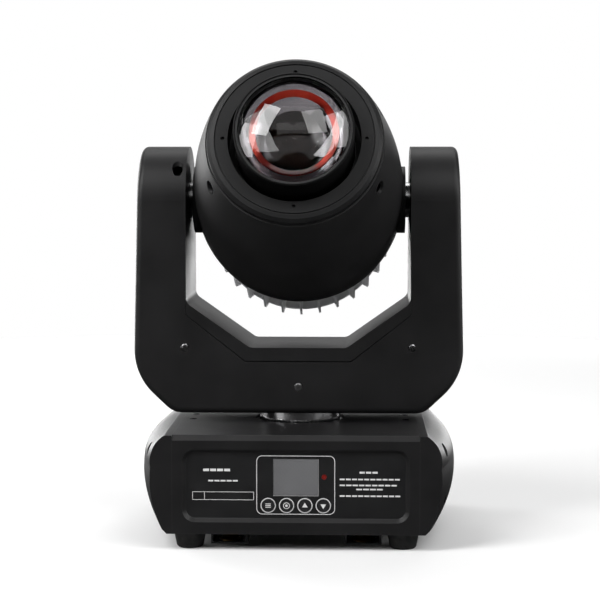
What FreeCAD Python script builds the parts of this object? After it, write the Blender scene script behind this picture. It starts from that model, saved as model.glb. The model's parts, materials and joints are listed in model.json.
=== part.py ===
import FreeCAD, Part
import Sketcher
import math
import os
import re

# Moving head light: a base that stands or hangs, a yoke that pans on it, and a head that tilts.
# Frame: +Z up, the lens side faces -Y, +X is to the right of the display.
# Origin: on the pan axis, in the plane of the quarter-turn lock receptacles.
# Head pieces are drawn upright about their own lens axis (+Z) and then leaned to the rest pitch.

SIZES = [
    # whole lamp
    ("tilt_height", 270.5, "tilt axis above the lock plane"),
    ("head_pitch", 21.6, "lens axis above the horizon at rest, degrees"),
    ("foot_drop", 2.5, "feet reach below the lock plane"),
    ("wall", 2.5, "moulded wall"),
    ("gap", 0.3, "clearance between separate mouldings"),
    # base
    ("base_low", 11, "underside of the base"),
    ("base_high", 89, "top of the base"),
    ("base_half_depth", 103, "half depth of the base"),
    ("seam_half", 97, "seam between panels and end caps"),
    ("crease_half", 103, "crease where the end cap's shoulder starts"),
    ("cap_half", 128, "widest half width of the base"),
    ("cap_wide_height", 64, "height of the widest line"),
    ("cap_front_half", 114, "half width of the cap at the front and rear faces"),
    ("cap_flank_height", 37.5, "height where the caps start to turn under"),
    ("cap_foot_rise", 3.5, "small bevel along the foot of the caps"),
    ("cap_screw_y", 79, "cap screws from the middle of the base"),
    ("panel_wall", 3, "front and rear panel wall"),
    ("bevel", 4, "bevel along the top of the panels"),
    ("recess_half", 86, "half width of the control recess at its inner edge"),
    ("recess_low", 23.4, "lower edge of the control recess"),
    ("recess_high", 75.1, "upper edge of the control recess"),
    ("recess_round", 7, "corner radius of the control recess"),
    ("recess_lean", 45, "slope of the recess lip, degrees"),
    ("lcd_half", 17.7, "half width of the display window"),
    ("lcd_low", 41.4, "lower edge of the display window"),
    ("lcd_high", 70.4, "upper edge of the display window"),
    ("key_pitch", 14.4, "spacing of the four keys"),
    ("key_height", 33.5, "height of the key row"),
    ("key_radius", 4.8, "key radius"),
    ("key_proud", 0.8, "keys stand proud of the control panel"),
    ("sensor_x", 22.3, "infrared window position"),
    ("sensor_height", 56.2, "infrared window height"),
    ("foot_span", 84.5, "feet from the centre lines"),
    ("foot_top", 13.1, "foot radius at the base"),
    ("foot_low", 10.6, "foot radius at the floor"),
    ("foot_edge", 1.2, "bevel round the lower edge of the feet"),
    ("lock_half_x", 53, "half of the standard 106 mm lock spacing"),
    ("lock_half_y", 76, "half of the lock spacing front to back"),
    ("lock_bore", 4, "receptacle bore radius"),
    ("rail_half", 14.5, "half width of the lock rail"),
    ("rail_half_length", 88, "half length of the lock rail"),
    ("rail_flange", 3, "flanges of the lock rail"),
    ("rail_sheet", 1.5, "lock rail sheet"),
    ("collar_opening", 37.5, "radius of the opening for the pan collar"),
    ("fuse_x", 32, "fuse holder position"),
    # pan drive
    ("spindle_radius", 14, "pan spindle tube"),
    ("spindle_bore", 10, "cable bore of the pan spindle"),
    ("collar_radius", 32.5, "polished pan collar"),
    ("collar_low", 84.5, "underside of the pan collar"),
    ("collar_rim", 33.6, "knurled rim of the pan collar"),
    ("rim_low", 86.5, "underside of the knurled rim"),
    ("rim_high", 90.5, "top of the knurled rim"),
    ("pan_pulley_radius", 38, "pan pulley"),
    ("small_pulley_radius", 7.6, "motor pulley"),
    ("pulley_wide", 8, "width of the pulleys"),
    ("pan_pulley_low", 62, "underside of the pan pulley"),
    ("pan_motor_x", -58, "pan motor position"),
    ("pan_motor_y", 44, "pan motor position"),
    ("motor_half", 21, "half of the square motor flange"),
    ("motor_long", 38, "motor length"),
    ("belt_thick", 1.4, "belt thickness"),
    # yoke, heights counted from the tilt axis
    ("yoke_half_depth", 44, "half depth of the yoke arms"),
    ("arm_outer_top", 129.4, "outer half width at the arm tops"),
    ("arm_outer_low", 134.4, "outer half width above the lower corners"),
    ("arm_inner", 91, "inner half width"),
    ("corner_high", 142.4, "upper end of the lower corner"),
    ("foot_half", 102, "half width of the flat underside"),
    ("yoke_low", 173, "underside of the yoke"),
    ("slope_high", 82.5, "upper end of the inner slope"),
    ("floor_half", 39.2, "half width of the inner floor"),
    ("floor_low", 119, "inner floor of the yoke"),
    ("corner_round", 50, "rounding where side meets lower corner"),
    ("foot_round", 18, "rounding where lower corner meets underside"),
    ("inner_round", 8, "rounding of the inner corners"),
    ("edge_round", 5, "rounding of the outer edges"),
    ("band_wide", 10.5, "width of the rim band round the cut-out"),
    ("groove_wide", 1.3, "groove below the rim band"),
    ("groove_deep", 1.4, "depth of that groove"),
    ("frame_plate", 3, "yoke frame sheet"),
    ("frame_x", 108, "inner face of the frame's arm plates"),
    ("frame_half", 28, "half depth of the frame's arm plates"),
    ("frame_top", 27, "top of the frame's arm plates"),
    ("tilt_pulley_radius", 30, "tilt pulley"),
    ("tilt_pulley_x", 112.5, "inner face of the tilt pulleys"),
    ("tilt_pulley_wide", 6, "width of the tilt pulleys"),
    ("tilt_motor_drop", 133, "tilt motor below the tilt axis"),
    # head, measured along the lens axis from the tilt axis
    ("shell_radius", 85.5, "widest radius of the head"),
    ("shell_wide_at", 8, "where the head is widest"),
    ("shell_front", 126.3, "front edge of the head covers"),
    ("shell_front_radius", 68.3, "radius of that edge"),
    ("shell_rear", -42, "rear edge of the head covers"),
    ("shell_rear_radius", 74.5, "radius of that edge"),
    ("front_arc", 413, "curve of the covers ahead of the widest place"),
    ("rear_arc", 119, "curve of the covers behind it"),
    ("bezel_front", 133.4, "front face of the bezel"),
    ("bezel_bore", 50.8, "inner edge of the bezel"),
    ("bezel_groove", 60.4, "groove round the bezel"),
    ("bezel_radius", 67.2, "outer edge of the bezel"),
    ("bezel_screw_radius", 54.6, "circle of the bezel screws"),
    ("barrel_radius", 45.5, "lens barrel"),
    ("barrel_front", 153, "front rim of the lens barrel"),
    ("barrel_rear", 63, "rear end of the lens barrel"),
    ("lens_radius", 43.8, "front lens"),
    ("lens_edge", 149.6, "edge of the domed face"),
    ("lens_tip", 164.6, "tip of the domed face"),
    ("pocket_lean", 26, "screw pockets of the covers above and below the horizontal, degrees"),
    ("pocket_at", 112, "screw pockets ahead of the tilt axis"),
    ("pocket_radius", 5.6, "screw pockets of the covers"),
    ("lug_reach", 66, "outer ends of the bezel's screw lugs"),
    ("hub_radius", 27.5, "round hub on each side of the head"),
    ("hub_face", 87, "outer face of the hub"),
    ("shaft_radius", 14.5, "tilt shaft"),
    ("running", 0.05, "radial clearance of a running fit"),
    ("fin_reach", 77, "radius of the fins"),
    ("fin_count", 30, "fins round the heat sink"),
    ("flange_radius", 71.9, "flange that ties the fins together"),
    ("flange_bore", 52, "inner edge of that flange"),
    ("flange_thick", 3, "thickness of that flange"),
    ("fin_rear", 98, "rear ends of the fins behind the tilt axis"),
    ("fin_shoulder", 76, "fins start to taper here, behind the tilt axis"),
    ("fin_rear_radius", 52, "radius of the fins at their rear ends"),
    ("fin_thick", 1.8, "fin thickness"),
    ("fan_radius", 36, "fan blades"),
    ("fan_bore", 39.5, "round space for the fan in the fins"),
    ("wheel_radius", 33, "colour and pattern wheels"),
    ("wheel_offset", 24, "wheel axes off the lens axis"),
    ("rod_offset", 48, "guide rods off the lens axis"),
]

# Screws of the yoke covers: across, and height from the tilt axis.
SCREW_SPOTS = [("-92.4", "-119"), ("0", "-151"), ("92.4", "-119")]

DOC = FreeCAD.newDocument("moving_head_light")
DIMS = DOC.addObject("Spreadsheet::Sheet", "Dims")
PIECES = []
X_AXIS = FreeCAD.Vector(1, 0, 0)
Y_AXIS = FreeCAD.Vector(0, 1, 0)
Z_AXIS = FreeCAD.Vector(0, 0, 1)


def fill_sheet():
    """Write the driving dimensions with their aliases."""
    for row, (alias, number, note) in enumerate(SIZES, 1):
        DIMS.set(f"A{row}", note)
        DIMS.set(f"B{row}", str(number))
        DIMS.setAlias(f"B{row}", alias)
    DOC.recompute()


def bound(formula):
    """Turn a formula of sheet aliases into a document expression."""
    return re.sub(r"\b([a-z]\w*)\b(?!\()", r"Dims.\1", str(formula))


def dim(formula):
    """Value of a formula of sheet aliases."""
    return float(DIMS.evalExpression(str(formula)))


def drive(thing, **formulas):
    """Bind properties to formulas; a double underscore stands for a dot."""
    for name, formula in formulas.items():
        thing.setExpression(name.replace("__", "."), bound(formula))


# ---- placements -------------------------------------------------------------

def head_place():
    """Place of the upright head pieces: at the tilt axis, leaned to the rest pitch."""
    return FreeCAD.Placement(
        FreeCAD.Vector(0, 0, dim("tilt_height")),
        FreeCAD.Rotation(X_AXIS, 90 - dim("head_pitch")))


def yoke_place():
    """Place of the yoke pieces, drawn from the tilt axis down."""
    return FreeCAD.Placement(FreeCAD.Vector(0, 0, dim("tilt_height")), FreeCAD.Rotation())


def keep(thing, label, place=None):
    """Name a finished sub-part and put it in its place."""
    thing.Label = label
    if place is not None:
        thing.Placement = place
    PIECES.append(thing)
    return thing


# ---- primitives and booleans --------------------------------------------------

def box(name, size, corner):
    """A box from its size and its low corner."""
    thing = DOC.addObject("Part::Box", name)
    drive(thing, Length=size[0], Width=size[1], Height=size[2])
    drive(thing, Placement__Base__x=corner[0], Placement__Base__y=corner[1],
          Placement__Base__z=corner[2])
    return thing


def turned(thing, axis):
    """Lay an upright primitive along X or Y."""
    if axis == "X":
        thing.Placement.Rotation = FreeCAD.Rotation(Y_AXIS, 90)
    if axis == "Y":
        thing.Placement.Rotation = FreeCAD.Rotation(X_AXIS, -90)
    return thing


def rod(name, radius, length, start, axis="Z"):
    """A cylinder from its start point along an axis."""
    thing = turned(DOC.addObject("Part::Cylinder", name), axis)
    drive(thing, Radius=radius, Height=length)
    drive(thing, Placement__Base__x=start[0], Placement__Base__y=start[1],
          Placement__Base__z=start[2])
    return thing


def cone(name, low_radius, high_radius, length, start, axis="Z"):
    """A cone from its start point along an axis."""
    thing = turned(DOC.addObject("Part::Cone", name), axis)
    drive(thing, Radius1=low_radius, Radius2=high_radius, Height=length)
    drive(thing, Placement__Base__x=start[0], Placement__Base__y=start[1],
          Placement__Base__z=start[2])
    return thing


def fuse(name, shapes):
    """Join shapes into one."""
    thing = DOC.addObject("Part::MultiFuse", name)
    thing.Shapes = shapes
    return thing


def cut(name, base, tools):
    """Cut the tools out of the base."""
    thing = DOC.addObject("Part::Cut", name)
    thing.Base = base
    thing.Tool = tools[0] if len(tools) == 1 else fuse(name + "_tools", tools)
    return thing


def common(name, shapes):
    """What the shapes share."""
    thing = DOC.addObject("Part::MultiCommon", name)
    thing.Shapes = shapes
    return thing


def group(name, shapes):
    """Separate solids kept in one node."""
    thing = DOC.addObject("Part::Compound", name)
    thing.Links = shapes
    return thing


def ring(name, outer, inner, length, start, axis="Z"):
    """A tube with a round bore."""
    return cut(name, rod(name + "_disc", outer, length, start, axis),
               [rod(name + "_bore", inner, length, start, axis)])


# ---- bodies and sketches --------------------------------------------------------

def new_body(name):
    """An empty PartDesign body."""
    return DOC.addObject("PartDesign::Body", name)


def new_sketch(body, name, role, lift="0"):
    """A sketch on one of the body's origin planes, lifted along its normal."""
    sketch = body.newObject("Sketcher::SketchObject", name)
    plane = next(f for f in body.Origin.OriginFeatures if f.Role == role)
    sketch.AttachmentSupport = [(plane, "")]
    sketch.MapMode = "FlatFace"
    sketch.setExpression("AttachmentOffset.Base.z", bound(lift))
    return sketch


def arc_between(start, end, radius, side):
    """The arc from start to end that bulges to the right (1) or left (-1) of that way."""
    half = (end - start) * 0.5
    normal = FreeCAD.Vector(half.y, -half.x, 0).normalize() * side
    centre = start + half - normal * math.sqrt(radius * radius - half.Length ** 2)
    return Part.Arc(start, centre + normal * radius, end)


def outline(sketch, points, arcs=None):
    """Draw a closed outline; arcs maps an edge's number to its radius and side."""
    arcs = arcs or {}
    spots = [FreeCAD.Vector(dim(x), dim(y), 0) for x, y in points]
    ends = []
    for i, start in enumerate(spots):
        end = spots[(i + 1) % len(spots)]
        if i not in arcs:
            ends.append((sketch.addGeometry(Part.LineSegment(start, end), False), 1, 2))
            continue
        radius, side = arcs[i]
        edge = sketch.addGeometry(arc_between(start, end, dim(radius), side), False)
        forward = (sketch.getPoint(edge, 1) - start).Length < 1e-6
        ends.append((edge, 1, 2) if forward else (edge, 2, 1))
        number = sketch.addConstraint(Sketcher.Constraint("Radius", edge, dim(radius)))
        sketch.setExpression(f"Constraints[{number}]", bound(radius))
    for i, (edge, first, _) in enumerate(ends):
        before = ends[i - 1]
        sketch.addConstraint(Sketcher.Constraint("Coincident", before[0], before[2], edge, first))
        pin_point(sketch, edge, first, points[i], spots[i])


def pin_point(sketch, edge, vertex, formulas, spot):
    """Bind one corner of an outline to its two formulas."""
    for kind, formula, number, axis in (("DistanceX", formulas[0], spot.x, -2),
                                        ("DistanceY", formulas[1], spot.y, -1)):
        if abs(number) < 1e-9:
            sketch.addConstraint(Sketcher.Constraint("PointOnObject", edge, vertex, axis))
            continue
        index = sketch.addConstraint(Sketcher.Constraint(kind, -1, 1, edge, vertex, number))
        sketch.setExpression(f"Constraints[{index}]", bound(formula))


def pad(body, name, sketch, length, midplane=False, flip=False):
    """Pad a sketch."""
    feature = body.newObject("PartDesign::Pad", name)
    feature.Profile = sketch
    feature.Midplane = midplane
    feature.Reversed = flip
    drive(feature, Length=length)
    return feature


def pocket(body, name, sketch, length, midplane=False, flip=False):
    """Pocket a sketch."""
    feature = body.newObject("PartDesign::Pocket", name)
    feature.Profile = sketch
    feature.Midplane = midplane
    feature.Reversed = flip
    drive(feature, Length=length)
    return feature


def turn(body, name, sketch, angle=360, flip=False):
    """Revolve a sketch about its vertical axis."""
    feature = body.newObject("PartDesign::Revolution", name)
    feature.Profile = sketch
    feature.ReferenceAxis = (sketch, ["V_Axis"])
    feature.Angle = angle
    feature.Reversed = flip
    return feature


def revolved(name, points, arcs=None, angle=360, flip=False):
    """A body turned from a radius and height outline."""
    body = new_body(name)
    sketch = new_sketch(body, name + "_outline", "XZ_Plane")
    outline(sketch, points, arcs)
    turn(body, name + "_turn", sketch, angle, flip)
    return body


def straight_edges(shape, direction, test):
    """Names of the straight edges along a direction whose middle passes the test."""
    names = []
    for number, edge in enumerate(shape.Edges, 1):
        if edge.Curve.TypeId != "Part::GeomLine":
            continue
        along = edge.Curve.Direction
        if abs(abs(along.dot(direction)) - 1) < 1e-6 and test(edge.CenterOfMass):
            names.append(f"Edge{number}")
    return names


def fillet(body, name, feature, radius, edges):
    """Round the named edges of a feature."""
    rounding = body.newObject("PartDesign::Fillet", name)
    rounding.Base = (feature, edges)
    drive(rounding, Radius=radius)
    DOC.recompute()
    return rounding


# ---- base -----------------------------------------------------------------------

def wall_panel(name, tools):
    """Front panel with its bevel and top lip; the rear panel is the same one turned round."""
    body = new_body(name)
    sketch = new_sketch(body, name + "_section", "YZ_Plane")
    lip = "-base_half_depth + bevel * 0.9"
    outline(sketch, [
        ("-base_half_depth", "base_low"), ("-base_half_depth", "base_high - bevel"),
        (lip, "base_high"), (lip, "base_high - panel_wall"),
        ("-base_half_depth + panel_wall", "base_high - bevel - panel_wall * 0.6"),
        ("-base_half_depth + panel_wall", "base_low"),
    ])
    pad(body, name + "_wall", sketch, "2 * seam_half", midplane=True)
    return cut(name + "_open", body, tools)


def rounded_window(name, half, low, high, radius, start, depth, lean):
    """A rounded rectangular block along +Y that narrows by the lean, used to cut windows."""
    body = new_body(name)
    sketch = new_sketch(body, name + "_outline", "XZ_Plane", f"-({start})")
    corner = [
        (f"{half} - {radius}", low), (half, f"{low} + {radius}"),
        (half, f"{high} - {radius}"), (f"{half} - {radius}", high),
        (f"-{half} + {radius}", high), (f"-{half}", f"{high} - {radius}"),
        (f"-{half}", f"{low} + {radius}"), (f"-{half} + {radius}", low),
    ]
    arcs = {0: (radius, 1), 2: (radius, 1), 4: (radius, 1), 6: (radius, 1)}
    outline(sketch, corner, arcs)
    prism = pad(body, name + "_prism", sketch, depth, flip=True)
    drive(prism, TaperAngle=f"-{lean}")
    return body


def base_front_panel():
    """Front panel with the control recess; the lip of the recess slopes inwards."""
    ahead = "1"
    spread = f"(panel_wall + {ahead}) * tan(recess_lean)"
    window = rounded_window("recess", f"(recess_half + {spread})", f"recess_low - {spread}",
                            f"recess_high + {spread}", f"(recess_round + {spread})",
                            f"-base_half_depth - {ahead}", "panel_wall + 2", "recess_lean")
    keep(wall_panel("front_panel", [window]), "base_front_panel")


def socket_cutters():
    """Openings of the rear panel, drawn at the front and turned round with it."""
    face = "-base_half_depth - 1"
    through = "panel_wall + 2"
    cutters = [box("inlet_hole", ("27.6", through, "19.6"), ("-75.8", face, "40.2"))]
    cutters.append(rod("fuse_hole", "6.1", through, ("-fuse_x", face, "50"), "Y"))
    for side, spot in (("in", "12"), ("out", "52")):
        cutters.append(rod(f"dmx_{side}_hole", "11.6", through, (spot, face, "50"), "Y"))
    return cutters


def base_rear_panel():
    place = FreeCAD.Placement(FreeCAD.Vector(), FreeCAD.Rotation(Z_AXIS, 180))
    keep(wall_panel("rear_panel", socket_cutters()), "base_rear_panel", place)


def base_top_cover():
    """Flat cover with the round opening for the pan collar and four vent holes."""
    half = "base_half_depth - bevel * 0.9 - 0.2"
    plate = box("top_plate", ("2 * seam_half - 0.2", f"2 * ({half})", "panel_wall"),
                ("-seam_half + 0.1", f"-({half})", "base_high - panel_wall"))
    tools = [rod("collar_hole", "collar_opening", "20", ("0", "0", "base_high - 10"))]
    for side in (-1, 1):
        for number, spot in enumerate((-17, 9)):
            tools.append(rod(f"vent_{side + 1}_{number}", "3.2", "20",
                             (str(88 * side), str(spot), "base_high - 10")))
    keep(cut("top_cover", plate, tools), "base_top_cover")


def cap_section(offset, half, shoulder, tuck):
    """One closed cross section of an end cap, at its distance along Y. The shoulder says how
    far its middle lies out from and below the crease, the tuck how far the foot lies in."""
    y = dim(offset)
    inner = dim("seam_half")
    low, high = dim("base_low"), dim("base_high - 0.2")
    crease = FreeCAD.Vector(dim("crease_half"), y, high)
    middle = FreeCAD.Vector(crease.x + shoulder[0], y, high - shoulder[1])
    widest = FreeCAD.Vector(dim(half), y, dim("cap_wide_height"))
    flank = FreeCAD.Vector(widest.x - tuck * 0.12, y, dim("cap_flank_height"))
    foot = FreeCAD.Vector(widest.x - tuck, y, low + dim("cap_foot_rise"))
    under = FreeCAD.Vector(foot.x - dim("cap_foot_rise"), y, low)
    edges = [
        Part.LineSegment(FreeCAD.Vector(inner, y, low), FreeCAD.Vector(inner, y, high)),
        Part.LineSegment(FreeCAD.Vector(inner, y, high), crease),
        Part.Arc(crease, middle, widest),
        Part.Arc(widest, flank, foot),
        Part.LineSegment(foot, under),
        Part.LineSegment(under, FreeCAD.Vector(inner, y, low)),
    ]
    return Part.Wire([edge.toShape() for edge in edges])


def end_cap(label, side):
    """Bulging end cap: lofted through three sections, with four screw pockets."""
    sections = [
        cap_section("-base_half_depth", "cap_front_half", (6.5, 6), 9),
        cap_section("0", "cap_half", (15.5, 6.5), 12),
        cap_section("base_half_depth", "cap_front_half", (6.5, 6), 9),
    ]
    shape = Part.makeLoft(sections, True, False)
    for end in (-1, 1):
        for height in (33, 74.5):
            start = FreeCAD.Vector(108, end * dim("cap_screw_y"), height)
            shape = shape.cut(Part.makeCylinder(5.5, 40, start, X_AXIS))
    cap = DOC.addObject("Part::Feature", label)
    cap.Shape = shape
    turn_round = FreeCAD.Rotation(Z_AXIS, 0 if side > 0 else 180)
    keep(cap, label, FreeCAD.Placement(FreeCAD.Vector(), turn_round))


def base_plate():
    """Steel floor of the base."""
    half_y = "base_half_depth - panel_wall - 0.1"
    keep(box("floor_plate", ("2 * seam_half - 0.2", f"2 * ({half_y})", "2"),
             ("-seam_half + 0.1", f"-({half_y})", "base_low")), "base_plate")


def control_panel():
    """Plate behind the recess, with the display window and the key holes."""
    face = "-base_half_depth + panel_wall"
    plate = box("control_plate", ("2 * recess_half + 8", "2.4", "recess_high - recess_low + 8"),
                ("-recess_half - 4", face, "recess_low - 4"))
    start = f"{face} - 1"
    tools = [box("lcd_hole", ("2 * lcd_half", "5", "lcd_high - lcd_low"),
                 ("-lcd_half", start, "lcd_low"))]
    for number in range(4):
        spot = f"key_pitch * {number - 1.5}"
        tools.append(rod(f"key_hole_{number}", "key_radius + gap", "5",
                         (spot, start, "key_height"), "Y"))
    tools.append(rod("sensor_hole", "2.1", "5", ("sensor_x", start, "sensor_height"), "Y"))
    keep(cut("control_open", plate, tools), "control_panel")


def display():
    """Display window, display module, infrared window and the board behind them."""
    face = "-base_half_depth + panel_wall"
    keep(box("lcd_glass", ("2 * lcd_half - 0.1", "1.8", "lcd_high - lcd_low - 0.1"),
             ("-lcd_half + 0.05", f"{face} + 0.3", "lcd_low + 0.05")), "lcd_window")
    keep(box("lcd_block", ("2 * lcd_half + 10", "3", "lcd_high - lcd_low + 7"),
             ("-lcd_half - 5", f"{face} + 2.5", "lcd_low - 3.5 + 1.6")), "lcd_module")
    keep(rod("sensor_glass", "2", "2.2", ("sensor_x", f"{face} + 0.1", "sensor_height"), "Y"),
         "infrared_window")
    keep(box("board", ("130", "1.6", "54"), ("-65", f"{face} + 6.2", "22")), "control_board")


def key(label, number):
    """A round key with a retaining flange behind the control panel."""
    spot = f"key_pitch * {number - 1.5}"
    face = "-base_half_depth + panel_wall"
    cap = rod(label + "_cap", "key_radius", "key_proud + 3.4",
              (spot, f"{face} - key_proud", "key_height"), "Y")
    flange = rod(label + "_flange", "key_radius + 0.9", "0.9",
                 (spot, f"{face} + 2.6", "key_height"), "Y")
    keep(fuse(label + "_solid", [cap, flange]), label)


def rubber_feet():
    """Four tapered feet with a bevel round their lower edge."""
    feet = []
    for number in range(4):
        x = f"foot_span * {1 if number % 2 else -1}"
        y = f"foot_span * {1 if number > 1 else -1}"
        tip = cone(f"foot_tip_{number}", "foot_low - foot_edge", "foot_low", "foot_edge",
                   (x, y, "-foot_drop"))
        block = cone(f"foot_{number}", "foot_low", "foot_top", "base_low + foot_drop - foot_edge",
                     (x, y, "foot_edge - foot_drop"))
        feet.append(fuse(f"foot_joined_{number}", [tip, block]))
    keep(group("feet", feet), "rubber_feet")


def lock_rail(name, side):
    """Hat channel that carries two receptacles, open at both ends."""
    body = new_body(name)
    sketch = new_sketch(body, name + "_section", "XZ_Plane")
    centre = f"lock_half_x * {side}"
    flange = "rail_half + rail_flange"
    points = [
        (f"{centre} - ({flange})", "base_low"), (f"{centre} - ({flange})", "base_low - rail_sheet"),
        (f"{centre} - rail_half", "base_low - rail_sheet"), (f"{centre} - rail_half", "0"),
        (f"{centre} + rail_half", "0"), (f"{centre} + rail_half", "base_low - rail_sheet"),
        (f"{centre} + {flange}", "base_low - rail_sheet"), (f"{centre} + {flange}", "base_low"),
        (f"{centre} + rail_half - rail_sheet", "base_low"),
        (f"{centre} + rail_half - rail_sheet", "rail_sheet"),
        (f"{centre} - rail_half + rail_sheet", "rail_sheet"),
        (f"{centre} - rail_half + rail_sheet", "base_low"),
    ]
    outline(sketch, points)
    pad(body, name + "_channel", sketch, "2 * rail_half_length", midplane=True)
    holes = [rod(f"{name}_hole_{end + 1}", "lock_bore", "6",
                 (centre, f"lock_half_y * {end}", "-2")) for end in (-1, 1)]
    return cut(name + "_drilled", body, holes)


def receptacle(name, x, y):
    """Quarter-turn receptacle: riveted flange, dished seat, barrel and tapered crown."""
    level = "rail_sheet"
    parts = [
        rod(name + "_flange", "9", "1.1", (x, y, level)),
        cone(name + "_dish", "7.8", "6.2", "1.4", (x, y, f"{level} + 1.1")),
        rod(name + "_barrel", "6.2", "3", (x, y, f"{level} + 2.5")),
        cone(name + "_crown", "6.2", "5", "1.6", (x, y, f"{level} + 5.5")),
    ]
    for side in (-1, 1):
        parts.append(rod(f"{name}_rivet_{side + 1}", "1.2", "2", (f"{x} + 7.4 * {side}", y, level)))
    return cut(name, fuse(name + "_blank", parts), [rod(name + "_bore", "lock_bore", "12", (x, y, "0"))])


def lock_hardware():
    """Two lock rails and the four quarter-turn receptacles riveted inside them."""
    keep(group("rails", [lock_rail("rail_left", -1), lock_rail("rail_right", 1)]), "lock_rails")
    receptacles = []
    for number in range(4):
        x = f"lock_half_x * {1 if number % 2 else -1}"
        y = f"lock_half_y * {1 if number > 1 else -1}"
        receptacles.append(receptacle(f"receptacle_{number}", x, y))
    keep(group("receptacles", receptacles), "lock_receptacles")


def safety_loop():
    """Steel bar under the base for the safety cable."""
    posts = [rod(f"loop_post_{side + 1}", "2", "base_low - 4", ("0", str(12 * side), "4"))
             for side in (-1, 1)]
    bar = rod("loop_bar", "2", "24", ("0", "-12", "4"), "Y")
    keep(fuse("loop", posts + [bar]), "safety_loop")


def rear_sockets():
    """Mains inlet, fuse holder and the two round control sockets."""
    face = "base_half_depth"
    flange = box("inlet_flange", ("36", "2", "25"), ("44", face, "37.5"))
    throat = box("inlet_throat", ("27", "18", "19"), ("48.5", f"{face} - 18", "40.5"))
    inside = box("inlet_inside", ("23", "17", "15"), ("50.5", f"{face} - 14", "42.5"))
    pins = [box(f"inlet_pin_{number}", ("2", "11", "4"),
                (str(61 + 7 * (number - 1)), f"{face} - 14.5", str(47.5 + 2.5 * (number == 1))))
            for number in range(3)]
    inlet = cut("inlet_open", fuse("inlet_body", [flange, throat]), [inside])
    keep(fuse("inlet", [inlet] + pins), "power_inlet")
    collar = rod("fuse_collar", "8", "1.5", ("fuse_x", face, "50"), "Y")
    knob = rod("fuse_knob", "6.5", "7", ("fuse_x", f"{face} + 1.5", "50"), "Y")
    tube = rod("fuse_tube", "6", "24", ("fuse_x", f"{face} - 24", "50"), "Y")
    keep(fuse("fuse", [collar, knob, tube]), "fuse_holder")
    for side, spot in (("in", -12), ("out", -52)):
        name = f"dmx_{side}"
        plate = box(name + "_plate", ("26", "1.8", "31"), (str(spot - 13), face, "34.5"))
        shell = rod(name + "_shell", "11.5", "20", (str(spot), f"{face} - 20", "50"), "Y")
        hollow = rod(name + "_hollow", "9.5" if side == "in" else "8.6", "18",
                     (str(spot), f"{face} - 14", "50"), "Y")
        socket = cut(name + "_open", fuse(name + "_body", [plate, shell]), [hollow])
        pins = []
        for number in range(3):
            angle = math.radians(90 + 120 * number)
            pin_at = (f"{spot} + 4.2 * {math.cos(angle):.4f}", f"{face} - 14.5",
                      f"50 + 4.2 * {math.sin(angle):.4f}")
            pins.append(rod(f"{name}_pin_{number}", "1.2", "11", pin_at, "Y"))
        keep(fuse(name, [socket] + pins), f"dmx_{side}_socket")


def power_supply():
    keep(box("supply", ("52", "120", "32"), ("36", "-60", "base_low + 2")), "power_supply")


# ---- pan drive ------------------------------------------------------------------

def pan_bearing():
    """Bearing housing under the top cover; the spindle runs in its bore."""
    keep(revolved("bearing", [
        ("spindle_radius + running", "73"), ("24", "73"), ("24", "78"), ("46", "78"),
        ("46", "base_high - panel_wall"), ("39", "base_high - panel_wall"), ("39", "82"),
        ("spindle_radius + running", "82"),
    ]), "pan_bearing")


def knurled_rim():
    """Flat serrations round the collar's rim."""
    teeth = 60
    radius = dim("collar_rim")
    points = []
    for number in range(teeth):
        for step, reach in ((0.0, radius - 0.7), (0.5, radius)):
            angle = 2 * math.pi * (number + step) / teeth
            points.append(FreeCAD.Vector(
                reach * math.cos(angle), reach * math.sin(angle), dim("rim_low")))
    points.append(points[0])
    face = Part.Face(Part.makePolygon(points))
    rim = DOC.addObject("Part::Feature", "rim_teeth")
    rim.Shape = face.extrude(FreeCAD.Vector(0, 0, dim("rim_high - rim_low")))
    return rim


def pan_spindle():
    """Hollow spindle with the polished collar and its knurled rim."""
    body = revolved("spindle", [
        ("spindle_bore", "56"), ("spindle_radius", "56"), ("spindle_radius", "collar_low"),
        ("collar_radius", "collar_low"), ("collar_radius", "tilt_height - yoke_low - 0.2"),
        ("spindle_radius", "tilt_height - yoke_low - 0.2"),
        ("spindle_radius", "tilt_height - yoke_low + wall + frame_plate"),
        ("spindle_bore", "tilt_height - yoke_low + wall + frame_plate"),
    ])
    bore = rod("rim_bore", "spindle_bore + 1", "20", ("0", "0", "rim_low - 5"))
    keep(fuse("spindle_collar", [body, cut("rim_ring", knurled_rim(), [bore])]), "pan_spindle")


def pulley(name, radius, bore, wide, start, axis="Z"):
    """Flanged belt pulley."""
    flange = f"({wide}) * 0.16"
    spots = {"Z": 2, "X": 0}
    far = list(start)
    far[spots[axis]] = f"{start[spots[axis]]} + ({wide}) - {flange}"
    parts = [
        rod(name + "_drum", radius, wide, start, axis),
        rod(name + "_flange_low", f"{radius} + 2", flange, start, axis),
        rod(name + "_flange_high", f"{radius} + 2", flange, tuple(far), axis),
    ]
    return cut(name + "_bored", fuse(name + "_blank", parts),
               [rod(name + "_bore", bore, wide, start, axis)])


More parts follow.
